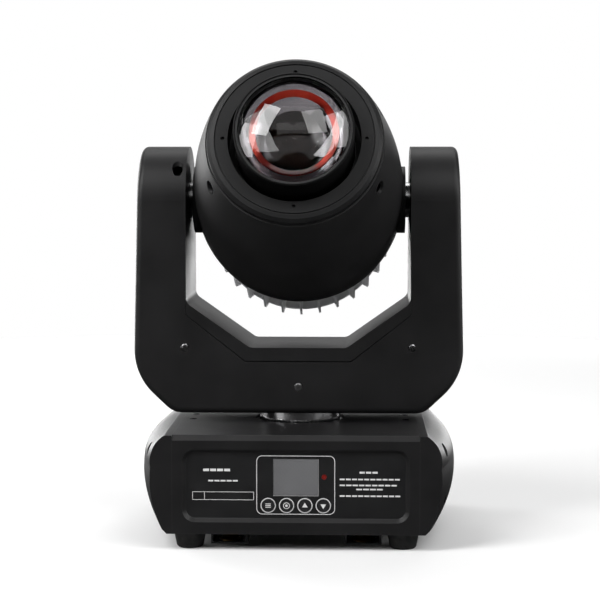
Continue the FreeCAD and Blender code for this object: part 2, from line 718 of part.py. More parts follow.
def belt(label, big, small, wide, place):
    """Flat closed belt round two pulleys, drawn with the big one at the origin and the
    small one along +X, with a little air round both."""
    big_radius = dim(big) + 0.25
    small_radius = dim(small[0]) + 0.25
    span = dim(small[1])
    thick = dim("belt_thick")

    def loop(extra):
        large, little = big_radius + extra, small_radius + extra
        lean = math.acos((large - little) / span)
        high = FreeCAD.Vector(large * math.cos(lean), large * math.sin(lean), 0)
        far = FreeCAD.Vector(span + little * math.cos(lean), little * math.sin(lean), 0)
        flip = FreeCAD.Vector(0, 2, 0)
        low = high - FreeCAD.Vector(0, 2 * high.y, 0)
        near = far - FreeCAD.Vector(0, 2 * far.y, 0)
        edges = [
            Part.LineSegment(high, far), Part.Arc(far, FreeCAD.Vector(span + little, 0, 0), near),
            Part.LineSegment(near, low), Part.Arc(low, FreeCAD.Vector(-large, 0, 0), high),
        ]
        return Part.Face(Part.Wire([edge.toShape() for edge in edges]))

    shape = loop(thick).cut(loop(0)).extrude(FreeCAD.Vector(0, 0, dim(wide)))
    thing = DOC.addObject("Part::Feature", label)
    thing.Shape = shape
    keep(thing, label, place)


def step_motor(name, shaft, start, axis):
    """Square stepping motor with a round pilot and its shaft, along Z or X."""
    if axis == "Z":
        case = box(name + "_case", ("2 * motor_half", "2 * motor_half", "motor_long"),
                   (f"{start[0]} - motor_half", f"{start[1]} - motor_half", start[2]))
        tip = (start[0], start[1], f"{start[2]} + motor_long")
    else:
        case = box(name + "_case", ("motor_long", "2 * motor_half", "2 * motor_half"),
                   (start[0], f"{start[1]} - motor_half", f"{start[2]} - motor_half"))
        tip = (f"{start[0]} + motor_long", start[1], start[2])
    return fuse(name + "_solid", [case, rod(name + "_pilot", "11", "1.8", tip, axis),
                                  rod(name + "_shaft", "2.5", shaft, tip, axis)])


def pan_drive():
    """Motor, its pulley, the big pulley on the spindle and the belt round both."""
    spot = ("pan_motor_x", "pan_motor_y")
    motor_low = "base_low + 2"
    shaft = f"pan_pulley_low + pulley_wide - ({motor_low} + motor_long)"
    keep(step_motor("pan_motor_block", shaft, (spot[0], spot[1], motor_low), "Z"), "pan_motor")
    keep(pulley("pan_small", "small_pulley_radius", "2.5 + running", "pulley_wide",
                (spot[0], spot[1], "pan_pulley_low")), "pan_motor_pulley")
    keep(pulley("pan_big", "pan_pulley_radius", "spindle_radius", "pulley_wide",
                ("0", "0", "pan_pulley_low")), "pan_pulley")
    span = "sqrt(pan_motor_x * pan_motor_x + pan_motor_y * pan_motor_y)"
    heading = math.degrees(math.atan2(dim("pan_motor_y"), dim("pan_motor_x")))
    place = FreeCAD.Placement(FreeCAD.Vector(0, 0, dim("pan_pulley_low + pulley_wide * 0.22")),
                              FreeCAD.Rotation(Z_AXIS, heading))
    belt("pan_belt", "pan_pulley_radius", ("small_pulley_radius", span), "pulley_wide * 0.56", place)


# ---- yoke -----------------------------------------------------------------------

def yoke_outline(inset):
    """Corners of the U, moved inwards by the inset; heights from the tilt axis."""
    top = "60"
    right = [
        ("floor_half + 0.334 * (%s)", "-floor_low - (%s)"),
        ("arm_inner + (%s)", "-slope_high - 0.5 * (%s)"),
        ("arm_inner + (%s)", top),
        ("arm_outer_top - (%s)", top),
        ("arm_outer_low - (%s)", "-corner_high + 0.414 * (%s)"),
        ("foot_half - 0.414 * (%s)", "-yoke_low + (%s)"),
    ]
    fill = [tuple(formula.replace("%s", inset) for formula in pair) for pair in right]
    left = [(f"-({x})", height) for x, height in reversed(fill)]
    return fill + left


def yoke_body(name, inset, rounded):
    """The U of the yoke with half-round arm tops; a cavity of the same form is its inset."""
    body = new_body(name)
    sketch = new_sketch(body, name + "_front", "XZ_Plane")
    outline(sketch, yoke_outline(inset))
    last = pad(body, name + "_pad", sketch, f"2 * (yoke_half_depth - ({inset}))", midplane=True)
    DOC.recompute()
    corners = (("corner", "corner_round", "-corner_high + 0.414 * (%s)"),
               ("foot", "foot_round", "-yoke_low + (%s)"),
               ("slope", "inner_round", "-slope_high - 0.5 * (%s)"),
               ("floor", "inner_round", "-floor_low - (%s)"))
    for corner, radius, height in corners:
        level = dim(height.replace("%s", inset))
        edges = straight_edges(last.Shape, Y_AXIS, lambda mid: abs(mid.z - level) < 0.01)
        last = fillet(body, f"{name}_{corner}", last, radius, edges)
    top = new_sketch(body, name + "_top", "YZ_Plane")
    half = f"yoke_half_depth - ({inset})"
    outline(top, [(f"-({half})", "0"), (half, "0"), ("70", "0"), ("70", "80"), ("-70", "80"),
                  ("-70", "0")], {0: (f"{half} + 0.0001", -1)})
    last = pocket(body, name + "_round_top", top, "400", midplane=True)
    DOC.recompute()
    if rounded:
        edges = yoke_rim_edges(last.Shape)
        fillet(body, name + "_edges", last, "edge_round", edges)
    return body


def yoke_rim_edges(shape):
    """Edges all round the outer skin of the yoke, front and rear, and over the arm tops."""
    names = []
    for number, edge in enumerate(shape.Edges, 1):
        spot = edge.CenterOfMass
        box_of = edge.BoundBox
        flat = box_of.YLength < 0.01 and abs(abs(spot.y) - dim("yoke_half_depth")) < 0.01
        low = spot.z < -dim("floor_low") - 5 or abs(spot.x) > dim("arm_outer_top") - 0.1
        if flat and low:
            names.append(f"Edge{number}")
        over_top = box_of.YLength > 60 and spot.z > 5 and abs(spot.x) > dim("arm_outer_top") - 8
        if over_top:
            names.append(f"Edge{number}")
    return names


def rim_groove():
    """Groove that sets the rim band off from the main face, round the U cut-out."""
    solids = []
    for name, reach in (("groove_far", "band_wide + groove_wide"), ("groove_near", "band_wide")):
        body = new_body(name)
        sketch = new_sketch(body, name + "_outline", "XZ_Plane", "yoke_half_depth - groove_deep")
        fade = f"arm_inner - 3 + 0.3 * ({reach})"
        outline(sketch, [
            (f"floor_half + 0.334 * ({reach})", f"-floor_low - ({reach})"),
            (fade, f"-slope_high - 0.5 * ({reach}) - 4"), (fade, "-slope_high + 10"),
            (f"-({fade})", "-slope_high + 10"), (f"-({fade})", f"-slope_high - 0.5 * ({reach}) - 4"),
            (f"-(floor_half + 0.334 * ({reach}))", f"-floor_low - ({reach})"),
        ])
        pad(body, name + "_pad", sketch, "10")
        solids.append(body)
    return cut("groove", solids[0], [solids[1]])


def yoke_covers():
    """Front and rear covers of the yoke, parted at mid depth."""
    skin = yoke_body("yoke_skin", "0", True)
    cavity = yoke_body("yoke_cavity", "wall", False)
    bores = [
        rod("shaft_holes", "shaft_radius + 1", "2 * arm_inner + 30", ("-arm_inner - 15", "0", "0"), "X"),
        rod("spindle_hole", "spindle_radius + 0.5", "20", ("0", "0", "-yoke_low - 10")),
    ]
    hollow = cut("yoke_hollow", skin, [cavity] + bores)
    far = "yoke_half_depth + 10"
    front = cover_half("yoke_front_cover", hollow, f"-({far})", "-yoke_half_depth")
    front.append(rim_groove())
    front.append(rod("arm_hole", "4.5", "30", ("-98", "-35", "20")))
    rear = cover_half("yoke_rear_cover", hollow, "0", "yoke_half_depth - 1.8")
    for label, (cover, *tools) in (("yoke_front_cover", front), ("yoke_rear_cover", rear)):
        keep(cut(label + "_done", cover, tools), label, yoke_place())


def cover_half(label, hollow, corner, face):
    """One half of the hollow yoke, and the tools that sink its screw seats."""
    half = box(label + "_half", ("400", "yoke_half_depth + 10", "400"), ("-200", corner, "-250"))
    seats = [rod(f"{label}_screw_{number}", "3.4", "1.8", (spot, face, height), "Y")
             for number, (spot, height) in enumerate(SCREW_SPOTS)]
    return [common(label + "_shell", [hollow, half])] + seats


def yoke_screws():
    """Pan-head screws seated in the covers, front and rear."""
    screws = []
    for side in (-1, 1):
        for number, (spot, height) in enumerate(SCREW_SPOTS):
            start = "-yoke_half_depth + 0.2" if side < 0 else "yoke_half_depth - 1.8"
            screws.append(rod(f"yoke_screw_{side + 1}_{number}", "3.2", "1.6",
                              (spot, start, height), "Y"))
    keep(group("screws_of_yoke", screws), "yoke_screws", yoke_place())


def yoke_frame():
    """Sheet steel U that carries the bearings, the motor and the spindle."""
    body = new_body("frame_sheet")
    sketch = new_sketch(body, "frame_section", "XZ_Plane")
    low = "-yoke_low + wall"
    outline(sketch, [
        ("-frame_x - frame_plate", "frame_top"), ("-frame_x - frame_plate", f"{low} + 14"),
        ("-foot_half + 10", low), ("foot_half - 10", low),
        ("frame_x + frame_plate", f"{low} + 14"), ("frame_x + frame_plate", "frame_top"),
        ("frame_x", "frame_top"), ("frame_x", f"{low} + 15.2"),
        ("foot_half - 11", f"{low} + frame_plate"), ("-foot_half + 11", f"{low} + frame_plate"),
        ("-frame_x", f"{low} + 15.2"), ("-frame_x", "frame_top"),
    ])
    pad(body, "frame_bend", sketch, "2 * frame_half", midplane=True)
    tools = [
        rod("frame_shaft_holes", "shaft_radius + 1", "2 * frame_x + 20", ("-frame_x - 10", "0", "0"), "X"),
        rod("frame_motor_hole", "12", "20", ("frame_x - 5", "0", "-tilt_motor_drop"), "X"),
        rod("frame_spindle_hole", "spindle_radius", "20", ("0", "0", "-yoke_low - 5")),
    ]
    keep(cut("frame_drilled", body, tools), "yoke_frame", yoke_place())


def tilt_bearings():
    """Two flanged bearings on the frame's arm plates."""
    rings = [ring(f"tilt_bearing_{side + 1}", "22", "shaft_radius + running", "14",
                  (start, "0", "0"), "X")
             for side, start in ((-1, "-frame_x"), (1, "frame_x - 14"))]
    keep(group("bearings_of_tilt", rings), "tilt_bearings", yoke_place())


def tilt_drive():
    """Tilt motor, its pulley and the belt; the big pulley sits on the tilt shaft."""
    start = ("frame_x - motor_long", "0", "-tilt_motor_drop")
    shaft = "tilt_pulley_x + tilt_pulley_wide - frame_x"
    keep(step_motor("tilt_motor_block", shaft, start, "X"), "tilt_motor", yoke_place())
    keep(pulley("tilt_small", "small_pulley_radius - 1.6", "2.5 + running", "tilt_pulley_wide",
                ("tilt_pulley_x", "0", "-tilt_motor_drop"), "X"), "tilt_motor_pulley", yoke_place())
    # The belt is drawn flat and stood up so that its long side runs down the arm.
    stand = FreeCAD.Rotation(Y_AXIS, 90)
    place = FreeCAD.Placement(
        FreeCAD.Vector(dim("tilt_pulley_x + tilt_pulley_wide * 0.22"), 0, dim("tilt_height")), stand)
    belt("tilt_belt", "tilt_pulley_radius", ("small_pulley_radius - 1.6", "tilt_motor_drop"),
         "tilt_pulley_wide * 0.56", place)


# ---- head -----------------------------------------------------------------------

def cover_profile():
    """Outer and inner curve of the head covers as radius and distance along the axis."""
    points = [
        ("shell_front_radius", "shell_front"), ("shell_radius", "shell_wide_at"),
        ("shell_rear_radius", "shell_rear"), ("shell_rear_radius - wall", "shell_rear"),
        ("shell_radius - wall", "shell_wide_at"), ("shell_front_radius - wall", "shell_front"),
    ]
    arcs = {0: ("front_arc", -1), 1: ("rear_arc", -1),
            3: ("rear_arc - wall", 1), 4: ("front_arc - wall", 1)}
    return points, arcs


def pocket_rod(name, radius, reach, length, angle):
    """A rod that points outwards from the lens axis, where the covers are screwed on."""
    thing = DOC.addObject("Part::Cylinder", name)
    drive(thing, Radius=radius, Height=length)
    way = FreeCAD.Rotation(Z_AXIS, angle).multVec(X_AXIS)
    thing.Placement = FreeCAD.Placement(
        way * dim(reach) + Z_AXIS * dim("pocket_at"), FreeCAD.Rotation(Z_AXIS, way))
    return thing


def pocket_angles():
    """Directions of the four cover screws round the lens axis: two above, two below."""
    lean = dim("pocket_lean")
    return [lean, 180 - lean, 180 + lean, 360 - lean]


def head_cover(label, flip):
    """Half shell with a notch for each hub and two screw pockets."""
    points, arcs = cover_profile()
    body = revolved(label + "_body", points, arcs, 180, flip)
    tools = [rod(label + "_hubs", "hub_radius + gap", "240", ("-120", "0", "0"), "X")]
    angles = pocket_angles()[2:] if flip else pocket_angles()[:2]
    for number, angle in enumerate(angles):
        tools.append(pocket_rod(f"{label}_pocket_{number}", "pocket_radius", "60", "40", angle))
    keep(cut(label + "_done", body, tools), label, head_place())


def front_bezel():
    """Front ring: grooved face, deep well round the barrel, screw holes and cover lugs."""
    body = revolved("bezel", [
        ("bezel_bore", "bezel_front"), ("bezel_groove - 0.6", "bezel_front"),
        ("bezel_groove - 0.5", "bezel_front - 1.1"), ("bezel_groove + 0.5", "bezel_front - 1.1"),
        ("bezel_groove + 0.8", "bezel_front - 0.1"), ("bezel_radius - 3", "bezel_front - 0.7"),
        ("bezel_radius - 0.6", "bezel_front - 3"), ("bezel_radius", "shell_front + 0.1"),
        ("bezel_radius - 1.6", "shell_front + 0.1"), ("bezel_radius - 1.6", "shell_front - 6"),
        ("bezel_bore + 2.5", "shell_front - 6"), ("bezel_bore + 2.5", "shell_front - 16"),
        ("barrel_radius + 0.7", "shell_front - 16"), ("barrel_radius + 0.7", "shell_front - 14"),
        ("bezel_bore", "shell_front - 14"),
    ])
    holes = []
    for number in range(4):
        angle = math.pi / 2 * number
        spot = (f"bezel_screw_radius * {round(math.cos(angle))}",
                f"bezel_screw_radius * {round(math.sin(angle))}", "bezel_front - 5")
        holes.append(rod(f"bezel_screw_{number}", "1.5", "10", spot))
    lugs = [pocket_rod(f"bezel_lug_{number}", "pocket_radius - 0.5", "bezel_bore + 1.2",
                       "lug_reach - bezel_bore - 1.2", angle)
            for number, angle in enumerate(pocket_angles())]
    keep(cut("bezel_drilled", fuse("bezel_lugged", [body] + lugs), holes), "front_bezel",
         head_place())


def lens_barrel():
    """Barrel with a rounded front rim, a seat behind the lens and a rear flange."""
    keep(revolved("barrel", [
        ("barrel_radius - 0.8", "barrel_front"), ("barrel_radius", "barrel_front - 0.8"),
        ("barrel_radius", "barrel_rear"), ("lens_radius - 2.6", "barrel_rear"),
        ("lens_radius - 2.6", "lens_edge - 4.1"), ("lens_radius + 0.1", "lens_edge - 4.1"),
        ("lens_radius + 0.1", "barrel_front - 0.4"), ("lens_radius + 0.5", "barrel_front"),
    ]), "lens_barrel", head_place())


def dome_radius(edge, rise):
    """Radius of the sphere that rises by an amount over a round edge."""
    return f"({edge} * {edge} + {rise} * {rise}) / (2 * {rise})"


def front_lens():
    """Plano-convex lens: flat rear, short cylindrical edge, domed front."""
    keep(revolved("lens", [
        ("0", "lens_edge - 4"), ("lens_radius", "lens_edge - 4"), ("lens_radius", "lens_edge"),
        ("0", "lens_tip"),
    ], {2: (dome_radius("lens_radius", "(lens_tip - lens_edge)"), 1)}), "front_lens", head_place())
    keep(ring("retainer", "lens_radius", "lens_radius - 1.2", "1.1", ("0", "0", "lens_edge + 1.4")),
         "lens_retainer", head_place())


def tilt_hub(label, side):
    """Round hub with its shaft; the right one ends in a seat for the tilt pulley."""
    start = "69"
    parts = [rod(label + "_flange", "20", "6", (start, "0", "0"), "X"),
             rod(label + "_hub", "hub_radius", "hub_face - 74", ("74", "0", "0"), "X"),
             rod(label + "_shaft", "shaft_radius", "frame_x + 1 - hub_face", ("hub_face", "0", "0"), "X")]
    if side > 0:
        parts.append(rod(label + "_seat", "10", "tilt_pulley_x + tilt_pulley_wide - frame_x - 1",
                         ("frame_x + 1", "0", "0"), "X"))
    solid = cut(label + "_bored", fuse(label + "_blank", parts),
                [rod(label + "_bore", "7", "70", ("60", "0", "0"), "X")])
    turn_round = FreeCAD.Placement(FreeCAD.Vector(0, 0, 0), FreeCAD.Rotation(Z_AXIS, 0 if side > 0 else 180))
    keep(solid, label, head_place().multiply(turn_round))


def tilt_pulley():
    keep(pulley("tilt_big", "tilt_pulley_radius", "10", "tilt_pulley_wide",
                ("tilt_pulley_x", "0", "0"), "X"), "tilt_pulley", head_place())


def head_frame():
    """Rear ring, two side rails and the front ring that holds the barrel."""
    parts = [ring("frame_rear", "71.3", "30", "4", ("0", "0", "-44")),
             ring("frame_front", "72", "lens_radius - 2.6", "3", ("0", "0", "60"))]
    for side, corner in ((-1, "-69"), (1, "66")):
        parts.append(box(f"frame_rail_{side + 1}", ("3", "36", "100"), (corner, "-18", "-40")))
    keep(fuse("frame_of_head", parts), "head_frame", head_place())


def fin_outline():
    """Outline of one fin as radius and distance along the axis."""
    return [
        ("24", "-49"), ("24", "-83"), ("fan_bore", "-83"), ("fan_bore", "-fin_rear"),
        ("fin_rear_radius", "-fin_rear"), ("fin_reach", "-fin_shoulder"), ("fin_reach", "-45"),
        ("69", "-45"), ("69", "-49"),
    ]


def heat_sink():
    """Cast heat sink: a disc with radial fins that taper rearwards, tied by a flange."""
    body = new_body("sink")
    disc = new_sketch(body, "sink_disc_outline", "XZ_Plane")
    outline(disc, [("0", "-50"), ("69.5", "-50"), ("69.5", "-44"), ("0", "-44")])
    turn(body, "sink_disc", disc)
    count = int(dim("fin_count"))
    fin = new_sketch(body, "fin_sketch", "XZ_Plane")
    # Half a step round, so that one fin stands straight down.
    fin.AttachmentOffset = FreeCAD.Placement(
        FreeCAD.Vector(), FreeCAD.Rotation(Y_AXIS, 180 / count))
    outline(fin, fin_outline())
    first = pad(body, "fin", fin, "fin_thick", midplane=True)
    fins = body.newObject("PartDesign::PolarPattern", "fins")
    fins.Originals = [first]
    fins.Axis = (fin, ["V_Axis"])
    fins.Angle = 360
    fins.Occurrences = count
    body.Tip = fins
    DOC.recompute()
    flange = new_sketch(body, "flange_outline", "XZ_Plane")
    low, high = "-fin_shoulder - flange_thick / 2", "-fin_shoulder + flange_thick / 2"
    outline(flange, [("flange_bore", low), ("flange_radius", low), ("flange_radius", high),
                     ("flange_bore", high)])
    turn(body, "sink_flange", flange)
    keep(body, "heat_sink", head_place())


def rear_guard():
    """Guard over the fan: outer ring, two thin rings, six spokes and the fan's pin."""
    low = "-fin_rear - 3"
    parts = [ring("guard_outer", "50", "37", "3", ("0", "0", low)),
             ring("guard_mid", "29", "26.5", "2", ("0", "0", low)),
             rod("guard_hub", "14", "2", ("0", "0", low))]
    for number in range(3):
        bar = DOC.addObject("Part::Box", f"guard_spoke_{number}")
        drive(bar, Length="78", Width="2.4", Height="2")
        turn_by = FreeCAD.Rotation(Z_AXIS, 60 * number)
        bar.Placement = FreeCAD.Placement(
            turn_by.multVec(FreeCAD.Vector(-39, -1.2, 0)) + Z_AXIS * dim(low), turn_by)
        parts.append(bar)
    parts.append(rod("guard_pin", "2", "8", ("0", "0", low)))
    keep(fuse("guard", parts), "rear_guard", head_place())


def fan_rotor():
    """Fan rotor: hub with seven leaning blades, running on the guard's pin."""
    hub = ring("fan_hub", "13", "2 + running", "9", ("0", "0", "-fin_rear + 2"))
    parts = [hub]
    for number in range(7):
        blade = DOC.addObject("Part::Box", f"fan_blade_{number}")
        drive(blade, Length="fan_radius - 12", Width="14", Height="1.2")
        lean = FreeCAD.Rotation(X_AXIS, 28)
        around = FreeCAD.Rotation(Z_AXIS, 360 / 7 * number)
        centre = FreeCAD.Vector(12, 0, dim("-fin_rear + 6.5"))
        blade.Placement = FreeCAD.Placement(FreeCAD.Vector(), around).multiply(
            FreeCAD.Placement(centre, lean)).multiply(
            FreeCAD.Placement(FreeCAD.Vector(0, -7, -0.6), FreeCAD.Rotation()))
        parts.append(blade)
    keep(fuse("fan", parts), "fan_rotor", head_place())


def led_module():
    board = rod("led_board", "29", "4", ("0", "0", "-44"))
    chip = box("led_chip", ("20", "20", "2"), ("-10", "-10", "-40"))
    cup = cone("led_cup", "14", "9", "8", ("0", "0", "-38"))
    hole = cone("led_cup_hole", "12.5", "7.5", "8", ("0", "0", "-38"))
    keep(fuse("led", [board, chip, cut("led_reflector", cup, [hole])]), "led_module", head_place())


def effect_wheel(label, side, level, holes, hole_radius):
    """Wheel with a ring of round windows, one of them on the lens axis."""
    centre = ("0", f"wheel_offset * {side}", level)
    tools = [rod(label + "_bore", "2 + running", "5", (centre[0], centre[1], f"{level} - 1"))]
    for number in range(holes):
        angle = math.radians(360 / holes * number - 90 * side)
        spot = (f"wheel_offset * {math.cos(angle):.5f}",
                f"wheel_offset * ({side} + {math.sin(angle):.5f})", f"{level} - 1")
        tools.append(rod(f"{label}_window_{number}", str(hole_radius), "5", spot))
    keep(cut(label + "_cut", rod(label + "_disc", "wheel_radius", "1.2", centre), tools),
         label, head_place())


def effects():
    """Plate with the two wheel motors behind it, and the wheels ahead of it."""
    plate = cut("plate_cut", rod("plate_disc", "66", "2", ("0", "0", "-1")),
                [rod("plate_light", "12", "4", ("0", "0", "-2")),
                 rod("plate_up", "3", "4", ("0", "wheel_offset", "-2")),
                 rod("plate_down", "3", "4", ("0", "-wheel_offset", "-2"))])
    keep(plate, "effects_plate", head_place())
    motors = []
    for name, side, tip in (("color", 1, "5"), ("gobo", -1, "8.5")):
        case = rod(f"{name}_motor", "10.5", "18", ("0", f"wheel_offset * {side}", "-19"))
        shaft = rod(f"{name}_shaft", "2", f"19 + {tip}", ("0", f"wheel_offset * {side}", "-19"))
        motors.append(fuse(f"{name}_drive", [case, shaft]))
    keep(group("motors_of_effects", motors), "effects_motors", head_place())
    effect_wheel("color_wheel", 1, "2.6", 8, 7)
    effect_wheel("gobo_wheel", -1, "6.2", 7, 8)


def focus_unit():
    """Focus lens in its carriage, on two guide rods."""
    rods = [rod(f"guide_{side + 1}", "3", "59", (f"rod_offset * {side}", "0", "1"))
            for side in (-1, 1)]
    keep(group("rods_of_focus", rods), "guide_rods", head_place())
    plate = box("carriage_plate", ("2 * rod_offset + 14", "16", "6"), ("-rod_offset - 7", "-8", "32"))
    holder = rod("carriage_ring", "33", "6", ("0", "0", "32"))
    tools = [rod("carriage_bore", "28", "8", ("0", "0", "31"))]
    tools += [rod(f"carriage_slide_{side + 1}", "3 + running", "8", (f"rod_offset * {side}", "0", "31"))
              for side in (-1, 1)]
    keep(cut("carriage", fuse("carriage_blank", [plate, holder]), tools), "focus_carriage", head_place())
    keep(revolved("focus_glass", [("0", "33"), ("28", "33"), ("28", "36"), ("0", "41")],
                  {2: (dome_radius("28", "5"), 1)}), "focus_lens", head_place())


def head_screws():
    """Screws of the four cover pockets and of the bezel."""
    screws = [pocket_rod(f"cover_screw_{number}", "3.2", "lug_reach", "3", angle)
              for number, angle in enumerate(pocket_angles())]
    for number in range(4):
        angle = math.pi / 2 * number
        screws.append(rod(f"bezel_bolt_{number}", "1.4", "2.5", (
            f"bezel_screw_radius * {round(math.cos(angle))}",
            f"bezel_screw_radius * {round(math.sin(angle))}", "bezel_front - 5")))
    keep(group("screws_of_head", screws), "head_screws", head_place())


# ---- checks and export --------------------------------------------------------------

def check(things):
    """Stop if an object failed or a sub-part has no sound shape."""
    for thing in DOC.Objects:
        if {"Invalid", "Error"} & set(thing.State):
            raise RuntimeError(f"{thing.Name} failed: {thing.State}")
    for thing in things:
        if thing.Shape.isNull() or not thing.Shape.isValid() or not thing.Shape.Solids:
            raise RuntimeError(f"{thing.Label} has no sound shape")


def main():
    """Build every sub-part, check the document and write the STEP files."""
    fill_sheet()
    base_top_cover()
    base_front_panel()
    base_rear_panel()
    end_cap("base_end_cap_left", -1)
    end_cap("base_end_cap_right", 1)
    base_plate()
    control_panel()
    display()
    for number, label in enumerate(("button_menu", "button_enter", "button_up", "button_down")):
        key(label, number)
    rubber_feet()
    lock_hardware()
    safety_loop()
    rear_sockets()
    power_supply()
    pan_bearing()
    pan_spindle()
    pan_drive()
    yoke_covers()
    yoke_screws()
    yoke_frame()
    tilt_bearings()
    tilt_drive()
    head_cover("head_cover_upper", False)
    head_cover("head_cover_lower", True)
    front_bezel()
    lens_barrel()
    front_lens()
    tilt_hub("tilt_hub_left", -1)
    tilt_hub("tilt_hub_right", 1)
    tilt_pulley()
    head_frame()
    heat_sink()
    rear_guard()
    fan_rotor()
    led_module()
    effects()
    focus_unit()
    head_screws()
    DOC.recompute()
    check(PIECES)
    os.makedirs("parts", exist_ok=True)
    for thing in PIECES:
        thing.Shape.exportStep(f"parts/{thing.Label}.step")
        print(thing.Label, len(thing.Shape.Solids), round(thing.Shape.Volume))


main()
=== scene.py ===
"""Moving head stage light: finishes, small hardware and a plain studio round its CAD frame."""

from __future__ import annotations

import json
import logging
import math
from dataclasses import dataclass, field
from enum import Enum
from typing import Iterable, Sequence, Union

import bmesh
import bpy
from mathutils import Matrix, Vector

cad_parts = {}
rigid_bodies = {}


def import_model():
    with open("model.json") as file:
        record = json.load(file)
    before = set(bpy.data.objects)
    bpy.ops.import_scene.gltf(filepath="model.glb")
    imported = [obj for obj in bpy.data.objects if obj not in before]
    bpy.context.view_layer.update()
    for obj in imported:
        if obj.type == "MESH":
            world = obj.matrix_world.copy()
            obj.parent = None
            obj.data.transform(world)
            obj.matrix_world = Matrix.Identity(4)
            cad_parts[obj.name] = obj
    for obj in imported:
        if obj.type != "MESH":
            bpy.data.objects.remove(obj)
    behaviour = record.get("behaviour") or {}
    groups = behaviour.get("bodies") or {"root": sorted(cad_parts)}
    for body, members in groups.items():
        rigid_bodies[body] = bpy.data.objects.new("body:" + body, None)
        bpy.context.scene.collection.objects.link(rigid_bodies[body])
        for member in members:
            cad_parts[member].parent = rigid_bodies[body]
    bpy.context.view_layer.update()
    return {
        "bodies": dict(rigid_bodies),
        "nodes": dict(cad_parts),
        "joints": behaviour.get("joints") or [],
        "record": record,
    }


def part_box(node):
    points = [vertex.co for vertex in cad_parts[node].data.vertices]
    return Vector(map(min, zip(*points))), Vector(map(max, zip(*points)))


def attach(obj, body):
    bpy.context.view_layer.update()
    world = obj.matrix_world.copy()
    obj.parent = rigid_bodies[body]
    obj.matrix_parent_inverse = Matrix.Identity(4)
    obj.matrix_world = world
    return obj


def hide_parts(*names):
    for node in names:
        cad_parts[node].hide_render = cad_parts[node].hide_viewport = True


LOG = logging.getLogger("moving_head")
MM = 0.001
QUARTER = math.pi / 2
HEAD_PITCH = math.radians(21.6)
SHARP_DEGREES = 35.0
Triple = tuple[float, float, float]
Colour = Triple
Number = Union["Signal", float]


# ---- shader arithmetic -------------------------------------------------------------


class Signal:
    """A number carried between shader nodes, written in plain arithmetic."""

    def __init__(self, graph: "Graph", socket: bpy.types.NodeSocket) -> None:
        """Hold a socket of a graph.

        Args:
            graph: The material's graph that new nodes go to.
            socket: The output socket that carries the number.
        """
        self.graph = graph
        self.socket = socket

    def _math(self, operation: str, first: Number, second: Number, clamp: bool = False) -> "Signal":
        """Add a Math node.

        Args:
            operation: The Math node's operation.
            first: Its first value.
            second: Its second value.
            clamp: Whether the result stays between 0 and 1.

        Returns:
            The node's result.
        """
        made = self.graph.node("ShaderNodeMath", {"operation": operation, "use_clamp": clamp},
                               {0: first, 1: second})
        return Signal(self.graph, made.outputs[0])

    def __add__(self, other: Number) -> "Signal":
        """Sum of two numbers."""
        return self._math("ADD", self, other)

    __radd__ = __add__

    def __sub__(self, other: Number) -> "Signal":
        """Difference of two numbers."""
        return self._math("SUBTRACT", self, other)

    def __rsub__(self, other: Number) -> "Signal":
        """Difference of two numbers, the other way round."""
        return self._math("SUBTRACT", other, self)

    def __mul__(self, other: Number) -> "Signal":
        """Product of two numbers."""
        return self._math("MULTIPLY", self, other)

    __rmul__ = __mul__

    def magnitude(self) -> "Signal":
        """The number without its sign."""
        return self._math("ABSOLUTE", self, 0.0)

    def about(self, middle: float, swing: float) -> "Signal":
        """A number from 0 to 1 laid evenly about a middle value."""
        return self * swing + (middle - swing / 2)

    def clamped(self) -> "Signal":
        """The number kept between 0 and 1."""
        return self._math("ADD", self, 0.0, clamp=True)


